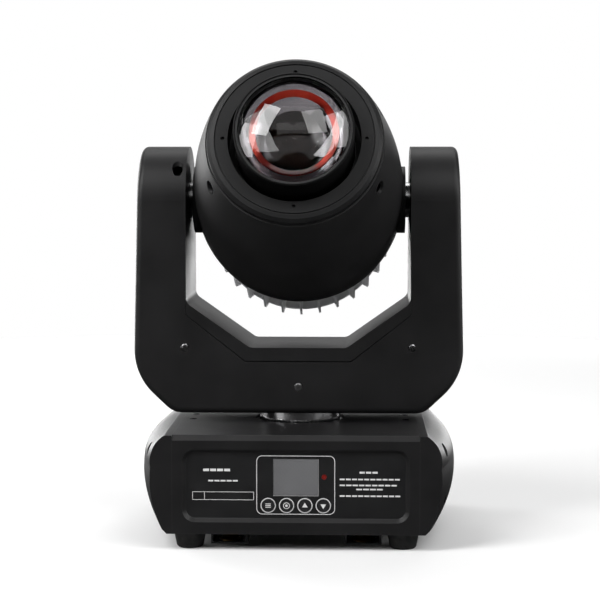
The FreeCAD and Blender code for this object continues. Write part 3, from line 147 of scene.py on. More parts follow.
class Graph:
    """A material and the few kinds of node that its finish is made of."""

    def __init__(self, name: str) -> None:
        """Start a material with a single Principled shader.

        Args:
            name: The material's name.
        """
        self.material = bpy.data.materials.new(name)
        self.material.use_nodes = True
        self.tree = self.material.node_tree
        self.tree.nodes.clear()
        self.output = self.node("ShaderNodeOutputMaterial")
        self.shader = self.node("ShaderNodeBsdfPrincipled")
        self.tree.links.new(self.shader.outputs[0], self.output.inputs[0])

    def node(self, kind: str, settings: dict | None = None,
             inputs: dict | None = None) -> bpy.types.Node:
        """Add a node.

        Args:
            kind: The node's type.
            settings: Its own settings.
            inputs: Values or links of its input sockets.

        Returns:
            The new node.
        """
        made = self.tree.nodes.new(kind)
        for key, value in (settings or {}).items():
            setattr(made, key, value)
        for key, value in (inputs or {}).items():
            self.feed(made.inputs[key], value)
        return made

    def feed(self, socket: bpy.types.NodeSocket, value: object) -> None:
        """Set or link one input socket.

        Args:
            socket: The socket to set.
            value: A number, a colour, a Signal or an output socket.
        """
        if isinstance(value, Signal):
            self.tree.links.new(value.socket, socket)
        elif isinstance(value, bpy.types.NodeSocket):
            self.tree.links.new(value, socket)
        elif isinstance(value, tuple) and socket.type == "RGBA":
            socket.default_value = (*value, 1.0)
        else:
            socket.default_value = value

    def principled(self, **values: object) -> None:
        """Set sockets of the Principled shader; underscores in names stand for spaces."""
        for key, value in values.items():
            self.feed(self.shader.inputs[key.replace("_", " ")], value)

    def coords(self, stretch: Triple = (1.0, 1.0, 1.0),
               turn: Triple = (0.0, 0.0, 0.0)) -> bpy.types.NodeSocket:
        """Object coordinates, turned and stretched.

        Args:
            stretch: Scale along each axis.
            turn: Rotation in radians.

        Returns:
            The coordinates' socket.
        """
        place = self.node("ShaderNodeTexCoord").outputs["Object"]
        made = self.node("ShaderNodeMapping", {"vector_type": "POINT"},
                         {"Vector": place, "Rotation": turn, "Scale": stretch})
        return made.outputs[0]

    def noise(self, scale: float, detail: float = 2.0, rough: float = 0.5,
              vector: bpy.types.NodeSocket | None = None) -> Signal:
        """Noise from 0 to 1.

        Args:
            scale: Features per metre.
            detail: Octaves.
            rough: How much the small octaves count.
            vector: Coordinates, or None for the object's own.

        Returns:
            The noise value.
        """
        made = self.node("ShaderNodeTexNoise", {"noise_dimensions": "3D"},
                         {"Vector": vector or self.coords(), "Scale": scale, "Detail": detail,
                          "Roughness": rough})
        return Signal(self, made.outputs["Fac"])

    def mix(self, factor: Number, low: object, high: object) -> bpy.types.NodeSocket:
        """Blend two colours.

        Args:
            factor: Share of the second colour.
            low: First colour.
            high: Second colour.

        Returns:
            The blended colour's socket.
        """
        made = self.node("ShaderNodeMix", {"data_type": "RGBA", "clamp_factor": True},
                         {0: factor, 6: low, 7: high})
        return made.outputs[2]

    def level(self, value: Signal, low: float, high: float) -> Signal:
        """Map a number from low..high to 0..1, clamped.

        Args:
            value: The number.
            low: What becomes 0.
            high: What becomes 1.

        Returns:
            The mapped number.
        """
        made = self.node("ShaderNodeMapRange", {"clamp": True},
                         {0: value, 1: low, 2: high, 3: 0.0, 4: 1.0})
        return Signal(self, made.outputs[0])

    def bump(self, height: Signal, depth: float, strength: float = 1.0) -> bpy.types.NodeSocket:
        """Turn a height into a normal.

        Args:
            height: Height from 0 to 1.
            depth: Metres that a height of 1 stands for.
            strength: Share of the effect.

        Returns:
            The normal's socket.
        """
        return self.node("ShaderNodeBump", None,
                         {"Height": height, "Distance": depth, "Strength": strength}).outputs[0]

    def edges(self, radius: float) -> Signal:
        """How near a sharp edge is, from 0 on flats to 1 on edges.

        Args:
            radius: Reach of the edge in metres.

        Returns:
            The edge mask.
        """
        rounded = self.node("ShaderNodeBevel", {"samples": 4}, {"Radius": radius}).outputs[0]
        flat = self.node("ShaderNodeNewGeometry").outputs["Normal"]
        same = self.node("ShaderNodeVectorMath", {"operation": "DOT_PRODUCT"}, {0: rounded, 1: flat})
        faintest, fullest = 0.01, 0.22
        return self.level(1.0 - Signal(self, same.outputs["Value"]), faintest, fullest)


# ---- finishes ---------------------------------------------------------------------


def lifted(colour: Colour, gain: float, lift: float) -> Colour:
    """A colour multiplied by a gain and raised by a lift, at most white."""
    red, green, blue = (min(1.0, channel * gain + lift) for channel in colour)
    return (red, green, blue)


@dataclass(frozen=True)
class MouldedPlastic:
    """Black moulded plastic with a fine spark grain, dust and rubbed edges."""

    name: str
    colour: Colour
    rough: float = 0.42
    grain: float = 2600.0
    depth: float = 0.06 * MM
    worn: float = 0.25
    sheen: float = 0.35
    edge_reach: float = 0.7 * MM
    dust: Colour = (0.10, 0.10, 0.10)
    dusty: float = 0.05
    rubbed: Colour = (0.07, 0.07, 0.072)
    polish: float = 0.15

    def make(self) -> bpy.types.Material:
        """Build the material."""
        g = Graph(self.name)
        cloud = g.noise(26.0, 3.0, 0.6)
        dust = g.level(g.noise(900.0, 2.0, 0.7), 0.62, 0.8)
        grain = g.noise(self.grain, 1.0, 0.4)
        edge = g.edges(self.edge_reach) * self.worn
        base = g.mix(g.level(cloud, 0.3, 0.75), self.colour, lifted(self.colour, 1.3, 0.0015))
        base = g.mix(dust * self.dusty, base, self.dust)
        base = g.mix(edge, base, self.rubbed)
        rough = (cloud.about(self.rough, 0.10) + grain * 0.06 - edge * self.polish).clamped()
        g.principled(Base_Color=base, Roughness=rough, Normal=g.bump(grain, self.depth, 0.6),
                     Specular_IOR_Level=self.sheen)
        return g.material


@dataclass(frozen=True)
class GlossPlastic:
    """Smooth plastic or film with a faint ripple and hairline scuffs."""

    name: str
    colour: Colour
    rough: float = 0.18
    scuff: float = 0.3
    coat: float = 0.0
    ripple: float = 0.05 * MM
    hair_stretch: Triple = (1.0, 1.0, 12.0)
    hair_turn: Triple = (0.3, 0.0, 0.5)
    hair_rough: float = 0.12

    def make(self) -> bpy.types.Material:
        """Build the material."""
        g = Graph(self.name)
        ripple = g.noise(60.0, 2.0, 0.5)
        hair = g.level(g.noise(500.0, 2.0, 0.6, g.coords(self.hair_stretch, self.hair_turn)), 0.6, 0.75)
        base = g.mix(g.level(ripple, 0.2, 0.8), self.colour, lifted(self.colour, 1.25, 0.004))
        rough = (ripple * 0.05 + self.rough + hair * (self.hair_rough * self.scuff)).clamped()
        g.principled(Base_Color=base, Roughness=rough, Normal=g.bump(ripple, self.ripple, 0.4),
                     Coat_Weight=self.coat, Coat_Roughness=0.06)
        return g.material


class Lay(Enum):
    """Which way a metal's tool marks run."""

    ROLLED = (1.0, 1.0, 14.0)
    TURNED = (1.0, 1.0, 40.0)
    CAST = (1.0, 1.0, 1.0)


@dataclass(frozen=True)
class Metal:
    """Bare or plated metal with tool marks, smudges and brighter edges."""

    name: str
    colour: Colour
    rough: float = 0.3
    lay: Lay = Lay.ROLLED
    marks: float = 0.03 * MM
    tint: Colour = (0.5, 0.48, 0.44)
    stain: float = 0.2
    purity: float = 1.0
    edge_reach: float = 0.5 * MM
    edge_share: float = 0.4

    def make(self) -> bpy.types.Material:
        """Build the material."""
        g = Graph(self.name)
        smudge = g.noise(40.0, 3.0, 0.6)
        marks = g.noise(380.0, 2.0, 0.6, g.coords(self.lay.value))
        base = g.mix(g.level(smudge, 0.45, 0.85) * self.stain, self.colour, self.tint)
        base = g.mix(g.edges(self.edge_reach) * self.edge_share, base, lifted(self.colour, 1.2, 0.05))
        rough = (smudge.about(self.rough, 0.16) + marks * 0.08).clamped()
        g.principled(Base_Color=base, Metallic=self.purity, Roughness=rough,
                     Normal=g.bump(marks, self.marks, 0.5))
        return g.material


@dataclass(frozen=True)
class PaintedMetal:
    """Powder-coated metal: orange-peel skin, chipped bright at the edges."""

    name: str
    colour: Colour
    rough: float = 0.45
    bare: Colour = (0.45, 0.45, 0.46)
    edge_reach: float = 0.6 * MM
    peel: float = 0.08 * MM

    def make(self) -> bpy.types.Material:
        """Build the material."""
        g = Graph(self.name)
        peel = g.noise(1100.0, 1.0, 0.4)
        chips = g.level(g.edges(self.edge_reach) + g.noise(260.0, 3.0, 0.7) * 0.8, 1.15, 1.3)
        g.principled(Base_Color=g.mix(chips * 0.7, self.colour, self.bare), Metallic=chips * 0.8,
                     Roughness=peel.about(self.rough, 0.10).clamped(),
                     Normal=g.bump(peel, self.peel, 0.7))
        return g.material


@dataclass(frozen=True)
class HubFinish:
    """Black hub inboard of its face and a ground steel shaft outboard of it."""

    name: str
    face: float = 87.1 * MM
    blend: float = 0.1 * MM
    black: Colour = (0.008, 0.008, 0.0085)
    steel: Colour = (0.66, 0.66, 0.67)
    black_rough: float = 0.42
    steel_rough: float = 0.16
    grain: float = 0.04 * MM

    def make(self) -> bpy.types.Material:
        """Build the material."""
        g = Graph(self.name)
        across = Signal(g, g.node("ShaderNodeSeparateXYZ", None, {0: g.coords()}).outputs[0]).magnitude()
        steel = g.level(across, self.face, self.face + self.blend)
        grain = g.noise(1800.0, 1.0, 0.4)
        bands = g.noise(700.0, 2.0, 0.6, g.coords((14.0, 1.0, 1.0)))
        rough = self.black_rough - steel * (self.black_rough - self.steel_rough) + bands * 0.08
        g.principled(Base_Color=g.mix(steel, self.black, self.steel), Metallic=steel,
                     Roughness=rough.clamped(), Normal=g.bump(grain, self.grain, 0.4),
                     Specular_IOR_Level=0.3)
        return g.material


@dataclass(frozen=True)
class Rubber:
    """Soft black rubber, greyed where it was handled."""

    name: str
    colour: Colour = (0.012, 0.012, 0.012)
    rough: float = 0.75
    bloomed: Colour = (0.05, 0.048, 0.046)
    pores: float = 0.1 * MM

    def make(self) -> bpy.types.Material:
        """Build the material."""
        g = Graph(self.name)
        bloom = g.level(g.noise(120.0, 3.0, 0.7), 0.4, 0.8)
        pores = g.noise(2200.0, 1.0, 0.5)
        g.principled(Base_Color=g.mix(bloom * 0.5, self.colour, self.bloomed),
                     Roughness=bloom.about(self.rough, 0.1).clamped(),
                     Normal=g.bump(pores, self.pores, 0.6), Specular_IOR_Level=0.25)
        return g.material


@dataclass(frozen=True)
class LensGlass:
    """Clear optical glass with an anti-reflex film of so many nanometres."""

    name: str
    tint: Colour = (0.99, 0.985, 0.99)
    film: float = 0.0

    def make(self) -> bpy.types.Material:
        """Build the material."""
        g = Graph(self.name)
        haze = g.level(g.noise(30.0, 2.0, 0.5), 0.3, 0.9)
        g.principled(Base_Color=self.tint, Roughness=haze * 0.004, IOR=1.52, Transmission_Weight=1.0,
                     Thin_Film_Thickness=self.film, Thin_Film_IOR=1.38)
        return g.material


@dataclass(frozen=True)
class CircuitBoard:
    """Solder-resist green with copper tracks."""

    name: str
    resist: Colour = (0.008, 0.09, 0.03)
    track: Colour = (0.03, 0.2, 0.07)
    copper: float = 0.04 * MM

    def make(self) -> bpy.types.Material:
        """Build the material."""
        g = Graph(self.name)
        black, white = (0.0, 0.0, 0.0), (1.0, 1.0, 1.0)
        bricks = g.node("ShaderNodeTexBrick", {"offset": 0.5},
                        {"Vector": g.coords(turn=(QUARTER, 0.0, 0.0)), "Scale": 220.0,
                         "Mortar Size": 0.06, "Color1": black, "Color2": black, "Mortar": white})
        tracks = Signal(g, bricks.outputs["Fac"])
        g.principled(Base_Color=g.mix(tracks, self.resist, self.track),
                     Roughness=tracks.about(0.35, 0.1).clamped(), Normal=g.bump(tracks, self.copper))
        return g.material


@dataclass(frozen=True)
class DisplayFilm:
    """Grey display seen through its window, unlit, with a faint cell grid."""

    name: str
    cell: float = 1.8 * MM
    dark: Colour = (0.10, 0.10, 0.104)
    light: Colour = (0.145, 0.145, 0.15)
    line: Colour = (0.08, 0.08, 0.09)

    def make(self) -> bpy.types.Material:
        """Build the material."""
        g = Graph(self.name)
        grid = g.node("ShaderNodeTexChecker", None,
                      {"Vector": g.coords(), "Scale": 1.0 / self.cell, "Color1": (0.0, 0.0, 0.0),
                       "Color2": (1.0, 1.0, 1.0)})
        cloud = g.noise(22.0, 2.0, 0.5)
        base = g.mix(g.level(cloud, 0.2, 0.8), self.dark, self.light)
        base = g.mix(Signal(g, grid.outputs["Fac"]) * 0.04, base, self.line)
        g.principled(Base_Color=base, Roughness=cloud.about(0.17, 0.06).clamped(), Coat_Weight=0.6,
                     Coat_Roughness=0.05)
        return g.material


@dataclass(frozen=True)
class PrintInk:
    """Screen-printed ink, a little worn; the grey one paints a highlight on the display window's edges."""

    name: str
    colour: Colour = (0.62, 0.62, 0.62)
    faded: Colour = (0.1, 0.1, 0.1)

    def make(self) -> bpy.types.Material:
        """Build the material."""
        g = Graph(self.name)
        worn = g.level(g.noise(1500.0, 2.0, 0.7), 0.55, 0.8)
        g.principled(Base_Color=g.mix(worn * 0.35, self.colour, self.faded),
                     Roughness=worn.about(0.6, 0.2).clamped())
        return g.material


@dataclass
class Finishes:
    """Every material of the lamp, made once."""

    made: dict[str, bpy.types.Material] = field(default_factory=dict)

    def build(self) -> None:
        """Make the materials."""
        for finish in (
            MouldedPlastic("cover_plastic", (0.0082, 0.0080, 0.0084), 0.46, sheen=0.30),
            MouldedPlastic("base_plastic", (0.0082, 0.0080, 0.0084), 0.42, sheen=0.32),
            MouldedPlastic("bezel_plastic", (0.0060, 0.0060, 0.0063), 0.44, sheen=0.26),
            MouldedPlastic("barrel_paint", (0.0022, 0.0022, 0.0024), 0.60, grain=1400.0, depth=0.04 * MM,
                           worn=0.06, sheen=0.12),
            GlossPlastic("panel_film", (0.0085, 0.0085, 0.009), 0.36, scuff=0.6),
            GlossPlastic("key_plastic", (0.014, 0.014, 0.015), 0.34, scuff=0.5),
            HubFinish("hub_and_shaft"),
            # Near-black brown core behind the lens: painted shade standing in for the unlit inside of the
            # lamp.
            GlossPlastic("shade_core_glass", (0.006, 0.003, 0.002), 0.05, scuff=0.2, coat=0.2),
            Metal("dark_reflector", (0.16, 0.15, 0.16), 0.10, Lay.TURNED, 0.01 * MM,
                  tint=(0.11, 0.10, 0.10), stain=0.4),
            Metal("red_anodised", (0.24, 0.016, 0.010), 0.30, Lay.TURNED, 0.02 * MM,
                  tint=(0.45, 0.10, 0.05), stain=0.4),
            PaintedMetal("black_oxide", (0.008, 0.008, 0.0085), 0.38, bare=(0.2, 0.2, 0.2)),
            GlossPlastic("red_window", (0.12, 0.008, 0.006), 0.12, scuff=0.2, coat=0.5),
            GlossPlastic("socket_plastic", (0.012, 0.012, 0.013), 0.35, scuff=0.8),
            GlossPlastic("color_filters", (0.16, 0.03, 0.24), 0.08, scuff=0.2, coat=0.6),
            Metal("polished_steel", (0.62, 0.62, 0.63), 0.16, Lay.TURNED, 0.02 * MM),
            Metal("zinc_plate", (0.52, 0.52, 0.53), 0.36),
            Metal("screw_steel", (0.66, 0.66, 0.67), 0.24, Lay.TURNED),
            Metal("yellow_zinc", (0.70, 0.52, 0.20), 0.26, Lay.TURNED, tint=(0.55, 0.45, 0.3), stain=0.5),
            Metal("cast_aluminium", (0.86, 0.86, 0.87), 0.50, Lay.CAST, 0.06 * MM,
                  tint=(0.7, 0.7, 0.7), stain=0.25, purity=0.35),
            Metal("turned_aluminium", (0.72, 0.73, 0.74), 0.3, Lay.TURNED),
            PaintedMetal("black_steel", (0.014, 0.014, 0.015)),
            Rubber("foot_rubber"),
            Rubber("belt_rubber", (0.016, 0.016, 0.016), 0.6),
            LensGlass("front_glass"),
            LensGlass("inner_glass", (0.95, 0.97, 1.0), film=180.0),
            CircuitBoard("green_board"),
            DisplayFilm("display_film"),
            PrintInk("white_print"),
            # Grey ink that paints a highlight on the display window's lower and right edges.
            PrintInk("painted_highlight_ink", (0.30, 0.30, 0.30)),
        ):
            self.made[finish.name] = finish.make()

    def paint(self, thing: bpy.types.Object, name: str) -> None:
        """Give an object a single finish.

        Args:
            thing: The object.
            name: The finish's name.
        """
        thing.data.materials.clear()
        thing.data.materials.append(self.made[name])

    def dress(self, plan: dict[str, str], nodes: dict) -> None:
        """Give CAD nodes their finishes.

        Args:
            plan: Finish name for each group of node names.
            nodes: The CAD objects by name.
        """
        for finish, names in plan.items():
            for name in names.split():
                for slot in nodes[name].material_slots:
                    slot.material = self.made[finish]
                if not nodes[name].material_slots:
                    nodes[name].data.materials.append(self.made[finish])


# ---- mesh workshop -------------------------------------------------------------------


@dataclass(frozen=True)
class Seat:
    """Where a small piece sits: a point and the way it faces."""

    spot: Vector
    facing: Vector
    roll: float = 0.0

    def matrix(self) -> Matrix:
        """Matrix that takes a piece drawn upright at the origin to its seat."""
        turn = self.facing.normalized().to_track_quat("Z", "Y").to_matrix().to_4x4()
        return Matrix.Translation(self.spot) @ turn @ Matrix.Rotation(self.roll, 4, "Z")


def tilt_height() -> float:
    """Height of the tilt axis, the middle of a hub."""
    low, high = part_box("tilt_hub_left")
    return (low.z + high.z) / 2


def head_place() -> Matrix:
    """Place of the head at rest, with its origin on the tilt axis and the lens axis as Z."""
    return Matrix.Translation((0.0, 0.0, tilt_height())) @ Matrix.Rotation(QUARTER - HEAD_PITCH, 4, "X")


def finish_mesh(mesh: bmesh.types.BMesh, name: str) -> bpy.types.Object:
    """Turn a bmesh into a finished object at the origin.

    Args:
        mesh: The bmesh, freed here.
        name: The object's name.

    Returns:
        The new object.
    """
    bmesh.ops.remove_doubles(mesh, verts=mesh.verts, dist=1e-7)
    bmesh.ops.recalc_face_normals(mesh, faces=mesh.faces)
    for face in mesh.faces:
        face.smooth = True
    for edge in mesh.edges:
        edge.smooth = len(edge.link_faces) == 2 and edge.calc_face_angle(0.0) < math.radians(SHARP_DEGREES)
    data = bpy.data.meshes.new(name)
    mesh.to_mesh(data)
    mesh.free()
    thing = bpy.data.objects.new(name, data)
    bpy.context.collection.objects.link(thing)
    return thing


def spun(profile: Sequence[tuple[float, float]], steps: int = 48) -> bmesh.types.BMesh:
    """Spin a profile of radius and height about Z.

    Args:
        profile: Corners from one end to the other, in metres.
        steps: Steps of the full turn.

    Returns:
        The spun bmesh.
    """
    mesh = bmesh.new()
    verts = [mesh.verts.new((radius, 0.0, height)) for radius, height in profile]
    edges = [mesh.edges.new(pair) for pair in zip(verts, verts[1:])]
    bmesh.ops.spin(mesh, geom=verts + edges, cent=(0, 0, 0), axis=(0, 0, 1), dvec=(0, 0, 0),
                   angle=2 * math.pi, steps=steps, use_merge=True, use_duplicate=False)
    bmesh.ops.remove_doubles(mesh, verts=mesh.verts, dist=1e-6)
    return mesh


def join_into(target: bmesh.types.BMesh, source: bmesh.types.BMesh, place: Matrix) -> None:
    """Copy one bmesh into another at a place and free it.

    Args:
        target: The bmesh that receives the copy.
        source: The bmesh to copy.
        place: Matrix applied to the copy.
    """
    data = bpy.data.meshes.new("passing")
    source.to_mesh(data)
    source.free()
    data.transform(place)
    target.from_mesh(data)
    bpy.data.meshes.remove(data)


def flat_box(wide: float, tall: float, thick: float, round_by: float = 0.0) -> bmesh.types.BMesh:
    """A thin plate on the XY plane, its upright edges rounded.

    Args:
        wide: Size along X.
        tall: Size along Y.
        thick: Size along Z, from 0 up.
        round_by: Corner radius.

    Returns:
        The plate's bmesh.
    """
    mesh = bmesh.new()
    bmesh.ops.create_cube(mesh, size=1.0)
    bmesh.ops.scale(mesh, vec=(wide, tall, thick), verts=mesh.verts)
    bmesh.ops.translate(mesh, vec=(0, 0, thick / 2), verts=mesh.verts)
    if round_by > 0:
        upright = [e for e in mesh.edges if abs(e.verts[0].co.z - e.verts[1].co.z) > thick / 2]
        bmesh.ops.bevel(mesh, geom=upright, offset=round_by, offset_type="OFFSET", segments=6,
                        profile=0.5, affect="EDGES", material=-1)
    return mesh


def frame_line(wide: float, tall: float, line: float, thick: float,
               round_by: float) -> bmesh.types.BMesh:
    """A thin rounded frame on the XY plane.

    Args:
        wide: Outer width.
        tall: Outer height.
        line: Width of the line.
        thick: Thickness of the ink.
        round_by: Outer corner radius.

    Returns:
        The frame's bmesh.
    """
    mesh = flat_box(wide, tall, thick, round_by)
    level = 0.9
    caps = [f for f in mesh.faces if abs(f.normal.z) > level]
    bmesh.ops.inset_individual(mesh, faces=caps, thickness=line, use_even_offset=True)
    inner = [f for f in mesh.faces if abs(f.normal.z) > level and len(f.verts) > 4
             and max(abs(v.co.x) for v in f.verts) < (wide - line) / 2]
    if len(inner) == 2:
        bmesh.ops.bridge_loops(mesh, edges=[e for f in inner for e in f.edges])
        bmesh.ops.delete(mesh, geom=inner, context="FACES")
    return mesh


def ring_line(radius: float, line: float, thick: float) -> bmesh.types.BMesh:
    """A thin printed ring on the XY plane."""
    inner = radius - line
    return spun([(inner, 0.0), (radius, 0.0), (radius, thick), (inner, thick), (inner, 0.0)], 32)


@dataclass(frozen=True)
class CrossScrew:
    """Cross-head screw with a domed head."""

    radius: float
    height: float
    dome: float = 0.45
    slot_length: float = 0.62
    slot_width: float = 0.24
    slot_depth: float = 0.1

    def mesh(self) -> bmesh.types.BMesh:
        """Build the screw upright with its underside at 0; the profile is in shares of its size."""
        r, h = self.radius, self.height
        shoulder = 1 - self.dome * 0.6
        head = spun([(0.0, 0.0), (r * 0.96, 0.0), (r, h * 0.25), (r * 0.94, h * shoulder),
                     (r * 0.72, h * 0.97), (r * 0.4, h), (0.0, h)], 28)
        for quarter in range(2):
            arm = flat_box(r * 2 * self.slot_length, r * self.slot_width, h * self.slot_depth)
            place = Matrix.Rotation(quarter * QUARTER, 4, "Z") @ Matrix.Translation((0, 0, h))
            join_into(head, arm, place)
        return head


class Workshop:
    """Makes finished pieces, paints them and seats them on their bodies."""

    def __init__(self, finishes: Finishes) -> None:
        """Keep the finishes for the pieces to come.

        Args:
            finishes: The lamp's materials.
        """
        self.finishes = finishes

    def piece(self, mesh: bmesh.types.BMesh, name: str, finish: str, body: str,
              slot: str | None = None, stands_for: Iterable[str] = ()) -> None:
        """Finish, paint and seat one piece.

        Args:
            mesh: The piece's bmesh in its place.
            name: The piece's name.
            finish: Its finish.
            body: The CAD body that it rides on.
            slot: Not used.
            stands_for: CAD nodes that it replaces.
        """
        thing = finish_mesh(mesh, name)
        self.finishes.paint(thing, finish)
        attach(thing, body)
        names = list(stands_for)
        if names:
            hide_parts(*names)
        LOG.info("%s: %d faces on %s", name, len(thing.data.polygons), body)


# ---- the studio ---------------------------------------------------------------------


@dataclass(frozen=True)
class SoftBox:
    """A rectangular light aimed at the lamp, in metres and watts."""

    name: str
    spot: Triple
    size: tuple[float, float]
    power: float
    target: Triple = (0.0, 0.0, 0.2)

    def build(self) -> None:
        """Hang the light."""
        data = bpy.data.lights.new(self.name, "AREA")
        data.shape = "RECTANGLE"
        data.size, data.size_y = self.size
        data.energy = self.power
        thing = bpy.data.objects.new(self.name, data)
        thing.location = self.spot
        way = Vector(self.target) - Vector(self.spot)
        thing.rotation_euler = way.to_track_quat("-Z", "Y").to_euler()
        bpy.context.collection.objects.link(thing)


@dataclass
class Studio:
    """Pale floor, soft boxes and the camera, in metres and degrees; lens and sensor in millimetres."""

    camera_spot: Triple = (0.0465, -1.4, 0.3025)
    yaw: float = 1.90
    pitch: float = 4.72
    lens: float = 100.98
    sensor: float = 36.0
    sight: float = 20.0
    floor_radius: float = 1.55
    floor_level: float = -0.0025

    BOXES = (
        SoftBox("top_back_box", (0.0, 0.9, 1.6), (1.8, 0.8), 11.8),
        SoftBox("left_box", (-0.79, -0.78, 1.29), (0.54, 0.93), 15.0),
        SoftBox("right_box", (0.55, -0.98, 1.31), (0.60, 0.74), 6.0),
        SoftBox("left_wing", (-1.25, -0.70, 0.75), (0.6, 0.9), 9.0),
        SoftBox("right_wing", (1.20, -0.60, 1.05), (0.8, 1.0), 10.0),
        SoftBox("far_front_box", (0.0, -2.6, 2.2), (2.4, 0.8), 4.0),
        SoftBox("back_box", (0.0, 1.7, 0.72), (2.0, 0.6), 5.0),
        SoftBox("back_left_box", (-1.5, 1.1, 0.5), (0.8, 0.8), 20.0),
        SoftBox("side_right_box", (1.7, 0.0, 0.5), (1.0, 0.8), 7.0),
        SoftBox("low_strip_left", (-0.75, 1.75, 0.12), (1.1, 0.16), 7.0),
        SoftBox("low_strip_right", (0.75, 1.75, 0.12), (1.1, 0.16), 7.0),
    )

    def build(self) -> None:
        """Set the camera, the surroundings, the floor and the lights."""
        self._camera()
        self._world()
        self._floor()
        for box in self.BOXES:
            box.build()

    def _camera(self) -> None:
        """Place the camera."""
        data = bpy.data.cameras.new("studio_camera")
        data.lens = self.lens
        data.sensor_width = self.sensor
        data.clip_end = self.sight
        thing = bpy.data.objects.new("studio_camera", data)
        thing.location = self.camera_spot
        thing.rotation_euler = (math.radians(90 - self.pitch), 0.0, math.radians(self.yaw))
        bpy.context.collection.objects.link(thing)
        bpy.context.scene.camera = thing

    def _world(self) -> None:
        """White surroundings that light nothing."""
        world = bpy.data.worlds.new("studio_white")
        world.use_nodes = True
        back = world.node_tree.nodes["Background"]
        back.inputs["Color"].default_value = (1.0, 1.0, 1.0, 1.0)
        back.inputs["Strength"].default_value = 1.0
        for ray in ("diffuse", "glossy", "transmission", "scatter"):
            setattr(world.cycles_visibility, ray, False)
        bpy.context.scene.world = world
        bpy.context.scene.view_settings.view_transform = "Standard"

    def _floor(self) -> None:
        """A pale floor that reflections leave out."""
        mesh = bmesh.new()
        bmesh.ops.create_circle(mesh, cap_ends=True, segments=96, radius=self.floor_radius)
        bmesh.ops.translate(mesh, vec=(0, 0, self.floor_level), verts=mesh.verts)
        floor = finish_mesh(mesh, "studio_floor")
        g = Graph("floor_paper")
        paper = g.mix(g.noise(3.0, 2.0, 0.5), (0.86, 0.86, 0.86), (0.88, 0.88, 0.88))
        g.principled(Base_Color=paper, Roughness=0.9, Specular_IOR_Level=0.0)
        floor.data.materials.append(g.material)
        floor.visible_glossy = False


# ---- the lamp ------------------------------------------------------------------------


@dataclass(frozen=True)
class Dashes:
    """A ruled line or a row of dashes on the control face, in millimetres."""

    x: float
    z: float
    wide: float
    tall: float
    dash: float = 5.0
    gap: float = 0.9

    def bars(self) -> list[tuple[float, float]]:
        """Split the line into bars; a line of 1 mm or less stays whole.

        Returns:
            The middle and the width of each bar.
        """
        count = max(1, round(self.wide / self.dash)) if self.tall > 1 else 1
        step = self.wide / count
        width = step - (self.gap if count > 1 else 0)
        return [(self.x - self.wide / 2 + step * (number + 0.5), width) for number in range(count)]


